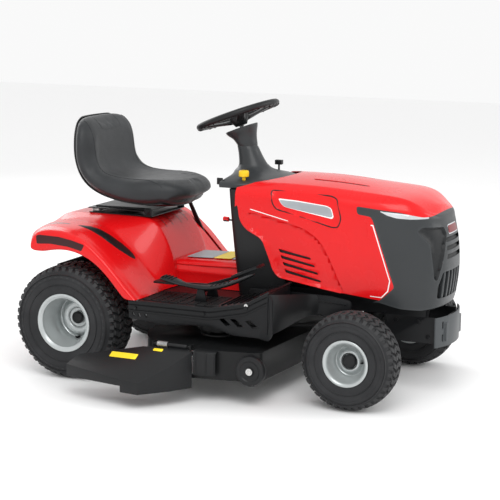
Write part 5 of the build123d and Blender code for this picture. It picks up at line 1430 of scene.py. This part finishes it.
def swell(o):
    """Lets a cushion fill out under pressure, as cloth, and keeps how far each point moves small."""
    apply_modifier(o, "REMESH", mode="VOXEL", voxel_size=0.0062)
    rest = [v.co.copy() for v in o.data.vertices]
    cloth = o.modifiers.new("cloth", "CLOTH")
    cloth.settings.quality = 4
    cloth.settings.use_pressure = True
    cloth.settings.uniform_pressure_force = 4.0
    cloth.settings.effector_weights.gravity = 0.0
    cloth.settings.tension_stiffness = 25
    cloth.settings.compression_stiffness = 25
    cloth.point_cache.frame_start = 1
    cloth.point_cache.frame_end = 20
    for number in range(1, 21):
        bpy.context.scene.frame_set(number)
    evaluated = o.evaluated_get(bpy.context.evaluated_depsgraph_get())
    moved = [v.co.copy() for v in evaluated.data.vertices]
    o.modifiers.clear()
    bpy.context.scene.frame_set(1)
    for v, start, end in zip(o.data.vertices, rest, moved):
        shift = (end - start) * 0.5
        if shift.length > 0.005:
            shift *= 0.005 / shift.length
        v.co = start + shift
    return apply_modifier(o, "SMOOTH", factor=0.5, iterations=3)


def seam_on(tree, points, way, radius, name):
    """Piping laid in the cushion along points in millimetres, found along a direction."""
    found = []
    for p in spline([Vector(q) for q in points], 5):
        hit = tree.ray_cast((Vector(p) - Vector(way) * 300) * MM, Vector(way))
        if hit[0] is not None:
            found.append(hit[0] / MM)
    piece = new_object(name, bar_mesh(found, radius, 10), "vinyl")
    return place(piece, "seat", (), "seat_vinyl")


def add_seat():
    """The moulded shell, the cushion with its bolsters, and its seams."""
    shell_rows = []
    for station in SEAT_STATIONS[1:-3]:
        ring = seat_section(station, 0)
        back = ring[12:19]
        shell_rows.append(back)
    shell = new_object("seat_shell_moulding", sheet_mesh(shell_rows), "plastic")
    apply_modifier(shell, "SUBSURF", levels=2)
    thicken(shell, -5)
    place(shell, "seat", ("seat_shell",), "black_plastic", 50)
    rows = [seat_section(station, 6) for station in SEAT_STATIONS]
    cushion = new_object("seat_pad", sheet_mesh(rows, closed=True, caps=True), "vinyl")
    apply_modifier(cushion, "SUBSURF", levels=2)
    swell(cushion)
    apply_modifier(cushion, "SUBSURF", levels=1)
    tree = surface_of(cushion)
    place(cushion, "seat", ("seat_cushion",), "seat_vinyl", 180)
    for name, side in SIDES.items():
        back = [(-700, 152, 1000), (-700, 162, 985), (-700, 165, 940), (-700, 165, 880), (-700, 165, 830),
            (-700, 165, 802)]
        back = [(x, side * y, z) for x, y, z in back]
        seam_on(tree, back, (-1, 0, 0), 1.7, f"seat_seam_back_{name}")
        low = [(-580, 165, 700), (-520, 165, 700), (-440, 166, 700), (-360, 170, 700), (-300, 178, 700),
            (-262, 184, 700)]
        low = [(x, side * y, z) for x, y, z in low]
        seam_on(tree, low, (0, 0, -1), 1.7, f"seat_seam_base_{name}")
        patch = [(-700, 84, 1004), (-700, 80, 966), (-700, 74, 958)]
        patch = [(x, side * y, z) for x, y, z in patch]
        seam_on(tree, patch, (-1, 0, 0), 1.1, f"seat_patch_{name}")
        for index, x in enumerate((-300, -345)):
            crease = [(x + 40, side * 150, 700), (x + 20, side * 110, 700), (x, side * 84, 700)]
            seam_on(tree, crease, (0, 0, -1), 0.9, f"seat_crease_{name}_{index}")
    seam_on(tree, [(-700, -74, 958), (-700, -30, 956), (-700, 30, 956), (-700, 74, 958)], (-1, 0, 0), 1.1,
        "seat_patch_low")


add_seat()


# ---------------------------------------------------------------- deck
SMALL_WHEEL_X = 250
SMALL_WHEEL_Y = 540
SMALL_WHEEL_Z = 143
HEAD_SEAT_Y = 558
HEAD_REACH = 12.5
BELT_CUTS = (0.375, 0.33, 0.29, 0.25, 0.21, 0.17, 0.13)


def add_belt():
    """The belt from the crank pulley to both spindles, cut across at each of BELT_CUTS and shaded smooth.
    """
    bm = mesh_of("deck_belt")
    for x in BELT_CUTS:
        bmesh.ops.bisect_plane(bm, geom=bm.verts[:] + bm.edges[:] + bm.faces[:],
            plane_co=(x, 0, 0), plane_no=(1, 0, 0))
    bmesh.ops.triangulate(bm, faces=bm.faces)
    belt = new_object("deck_belt_skin", bm, "belt")
    smooth(belt, 40)
    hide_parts("deck_belt")
    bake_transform(belt)


def add_deck():
    """The pressed deck with its covers, chute and small wheels."""
    shell = refined("deck_shell", "deck", "deck", 0.0035)
    for v in shell.data.vertices:
        reach = Vector((v.co.x - SMALL_WHEEL_X * MM, v.co.z - SMALL_WHEEL_Z * MM)).length
        depth = abs(v.co.y) - HEAD_SEAT_Y * MM
        if reach < HEAD_REACH * MM and depth > 0:
            v.co.y *= (HEAD_SEAT_Y * MM + depth * 0.08) / (HEAD_SEAT_Y * MM + depth)
    refined("discharge_chute", "chute", "plastic", 0.004)
    for node, body in (("blade_right", "blade_right"), ("blade_left", "blade_left")):
        refined(node, body, "bright", 0.0008)
    for index, (cx, cy) in enumerate(((-5, -268), (45, 268))):
        side = 1 if cy > 0 else -1
        profile = [(86, 227), (86, 236), (84, 252), (80, 262), (74, 265), (40, 266), (36, 269), (0.5, 270)]
        rows = []
        for radius, z in profile:
            rows.append([
                Vector((cx + radius * cos(a), cy + side * abs(radius * sin(a)) - side * 4, z)) * MM
                for a in (pi * k / 36 for k in range(37))
            ])
        cover = new_object(f"belt_cover_{index}", sheet_mesh(rows), "plastic")
        thicken(cover, 2.5)
        place(cover, "deck", ("belt_covers",) if index == 0 else (), "black_plastic")
        ribs = []
        for a in (0.5, 1.1, 1.57, 2.05, 2.65):
            ribs.append(bar_mesh([(cx + r * cos(a), cy + side * r * sin(a), z) for r,
                z in ((38, 268.6), (56, 268), (78, 264.5))], 2.4, 8))
        place(new_object(f"cover_ribs_{index}", join_meshes(*ribs), "plastic"), "deck", (), "black_plastic")
    for name, side in SIDES.items():
        disc = turned_mesh([(12, -17), (16, -17), (18, -13), (36, -13), (40, -16), (49, -17), (54, -15),
            (57, -10), (58, 0),
                            (57, 10), (54, 15), (49, 17), (40, 16), (36, 13), (18, 13), (16, 17), (12, 17)],
                           (SMALL_WHEEL_X, side * SMALL_WHEEL_Y, SMALL_WHEEL_Z), 56)
        disc = new_object(f"scalp_wheel_skin_{name}", disc, "plastic")
        place(disc, f"scalp_wheel_{name}", (f"scalp_wheel_{name}",), "black_plastic", 30)


add_belt()
add_deck()


def add_chute_labels():
    """Two plain yellow plates on the chute, and a hinge spring on its pin."""
    base = new_object("chute_probe", mesh_of("discharge_chute"))
    tree = surface_of(base)
    bpy.data.objects.remove(base)
    for index, (low_x, high_x, low_y, high_y) in enumerate(((-290, -178, -642, -616),
        (-132, -92, -590, -577))):
        outline = rounded([(low_x, low_y, 0), (high_x, low_y, 0), (high_x, high_y, 0), (low_x, high_y, 0)],
            4, 3)
        bm = laid_on(tree, [(p.x, p.y) for p in outline], (0, 0, 900), (0, 0, -1), 0.8, 0, 12, "XY")
        place(new_object(f"chute_label_{index}", bm, "label"), "chute", (), "yellow_plastic")
    coil = []
    for k in range(121):
        a = 2 * pi * k / 12
        coil.append((-124 + k * 0.36, -560 + 11.5 * cos(a), 212 + 11.5 * sin(a)))
    place(new_object("chute_spring", bar_mesh(coil, 1.4, 8), "bright"), "chute", (), "bright_steel")


def add_deck_fittings():
    """The curved guard beside the chute, its ribs, and bright bolts."""
    plan = [(27, -571), (48, -570), (72, -567), (96, -561), (112, -555)]
    rows = []
    for z, out in ((110, 0), (114, 2), (150, 2), (188, 2), (198, -2), (203, -14), (204, -34)):
        line = spline([Vector((x, y, 0)) for x, y in plan], 3)
        rows.append([Vector((q.x, q.y - out, z)) * MM for q in line])
    guard = thicken(new_object("chute_guard", sheet_mesh(rows), "plastic"), 3)
    place(guard, "deck", (), "black_plastic", 40)
    ribs = [bar_mesh([(x, y - 2, 116), (x, y - 2, 160), (x, y - 1, 196)], 2.6, 8) for x,
        y in ((40, -570), (78, -566), (108, -556))]
    place(new_object("chute_guard_ribs", join_meshes(*ribs), "plastic"), "deck", (), "black_plastic")
    for name, side in SIDES.items():
        head = [(0.4, 5.8), (5, 5.6), (8.6, 4.4), (9, 3), (9, 1.7), (13, 1.7), (13, 0.1), (0.4, 0.1)]
        head = [(r, side * along) for r, along in head]
        seat = (SMALL_WHEEL_X, side * HEAD_SEAT_Y, SMALL_WHEEL_Z)
        bolt = new_object(f"scalp_bolt_{name}", turned_mesh(head, seat, 32), "bright")
        place(bolt, "deck", (), "bright_steel")
    for name, side in SIDES.items():
        head = [(0.4, 2), (4, 2), (7.5, 1.0), (8.5, -1), (8.5, -3), (0.4, -3)]
        head = [(r, side * along) for r, along in head]
        stud = new_object(f"board_stud_{name}", turned_mesh(head, (197, side * 470.5, 370), 28), "bright")
        place(stud, "chassis", (), "bright_steel")


def add_fairings():
    """The dark side fairings that sweep in from each footboard's front to the frame."""
    plan = [(284, 466), (296, 453), (310, 420), (322, 370), (334, 310), (348, 262), (364, 232), (384, 221)]
    for name, side in SIDES.items():
        rows = []
        for share in (0.0, 0.06, 0.3, 0.5, 0.7, 0.94, 1.0):
            row = []
            for x, y in plan:
                inward = (466 - y) / 245
                low, high = mix(264, 306, inward), mix(421, 384, inward)
                swell = 9 * sin(pi * share)
                row.append(Vector((x + swell, side * y, mix(low, high, share))) * MM)
            rows.append(row)
        fairing = new_object(f"fairing_{name}", sheet_mesh(rows), "plastic")
        apply_modifier(fairing, "SUBSURF", levels=2)
        thicken(fairing, 3)
        place(fairing, "chassis", (), "black_plastic", 50)


add_chute_labels()
add_deck_fittings()
add_fairings()


# ---------------------------------------------------------------- controls
def add_drive_pedal():
    """The curved rubber rocker that drives forwards and back, on its CAD bracket."""
    rows = []
    for x, z, half, thick in (
        (-205, 424, 12, 4), (-198, 427, 26, 8), (-172, 425, 34, 10), (-140, 418, 34, 10),
        (-118, 412, 26, 8), (-100, 408, 18, 7),
        (-60, 404, 20, 8), (-20, 404, 30, 9), (20, 408, 36, 10), (60, 418, 38, 10), (100, 432, 36, 10),
        (140, 450, 30, 9),
        (170, 464, 22, 8), (186, 472, 12, 5), (190, 474, 5, 3),
    ):
        rows.append([
            Vector((x, -378 + half * cos(2 * pi * k / 20), z + thick * sin(2 * pi * k / 20))) * MM
                for k in range(20)
        ])
    pad = new_object("drive_pedal_pad", sheet_mesh(rows, closed=True, caps=True), "plastic")
    apply_modifier(pad, "SUBSURF", levels=1)
    place(pad, "drive_pedal", (), "belt_rubber")
    ribs = []
    for x, z in ((-190, 436), (-176, 436), (-162, 434), (-148, 430), (20, 419), (38, 423), (56, 428),
        (74, 434), (92, 440)):
        ribs.append(bar_mesh([(x, -402, z - 1.5), (x, -378, z - 0.5), (x, -354, z - 1.5)], 2.6, 8))
    place(new_object("drive_pedal_ribs", join_meshes(*ribs), "rubber_mat"), "drive_pedal", (),
        "belt_rubber")


CARRIED = (
    # node, body, material, bevel in metres
    ("frame_rails", "chassis", "steel", 0.0016),
    ("rear_hitch_plate", "chassis", "steel", 0.0012),
    ("axle_bracket", "chassis", "steel", 0.0016),
    ("front_bumper", "chassis", "bumper", 0.0040),
    ("engine_block", "chassis", "cast", 0.0025),
    ("engine_shroud", "chassis", "plastic", 0.0060),
    ("muffler", "chassis", "bright", 0.0050),
    ("fuel_tank", "chassis", "plastic", 0.0080),
    ("battery", "chassis", "plastic", 0.0020),
    ("transaxle_case", "chassis", "cast", 0.0030),
    ("drive_belt", "chassis", "belt", 0.0006),
    ("seat_base", "chassis", "steel", 0.0014),
    ("body_bolts", "chassis", "steel", 0.0008),
    ("front_axle_beam", "front_axle", "steel", 0.0020),
    ("knuckle_right", "knuckle_right", "steel", 0.0010),
    ("knuckle_left", "knuckle_left", "steel", 0.0010),
    ("tie_rod", "tie_rod", "bright", 0.0008),
    ("drag_link", "drag_link", "bright", 0.0008),
    ("steering_shaft", "steering", "bright", 0.0005),
    ("steering_pinion", "steering_pinion", "bright", 0.0004),
    ("steering_sector", "steering_sector", "steel", 0.0006),
    ("engine_pulley", "engine_pulley", "bright", 0.0006),
    ("transaxle_pulley", "transaxle_pulley", "bright", 0.0006),
    ("seat_bracket", "seat_frame", "steel", 0.0016),
    ("seat_springs", "seat_frame", "bright", 0.0004),
    ("lift_lever", "lift_lever", "steel", 0.0016),
    ("drive_pedal", "drive_pedal", "steel", 0.0016),
    ("brake_pedal", "brake_pedal", "steel", 0.0016),
    ("park_lever", "park_lever", "steel", 0.0014),
    ("ignition_key", "ignition_key", "plastic", 0.0012),
    ("pto_knob", "pto_knob", "yellow", 0.0026),
    ("throttle_lever", "throttle_lever", "plastic", 0.0022),
)


def add_lever_grips():
    """Soft grips on the hand levers."""
    grip = bar_mesh([(-474, 405, 634), (-480, 405, 656), (-487, 405, 680), (-491, 405, 694)], 13.6, 20)
    place(new_object("lift_grip", grip, "rubber_mat"), "lift_lever", (), "black_plastic")
    tip = bar_mesh([(-6, -180, 642), (-14, -180, 642), (-24, -180, 643), (-30, -180, 643)], 9.5, 18)
    tip = new_object("park_grip", tip, "red")
    soften(tip, 0.003, 3, 50)
    place(tip, "park_lever", (), "black_plastic")


add_drive_pedal()
for node, body, material, bevel in CARRIED:
    refined(node, body, material, bevel)
add_lever_grips()
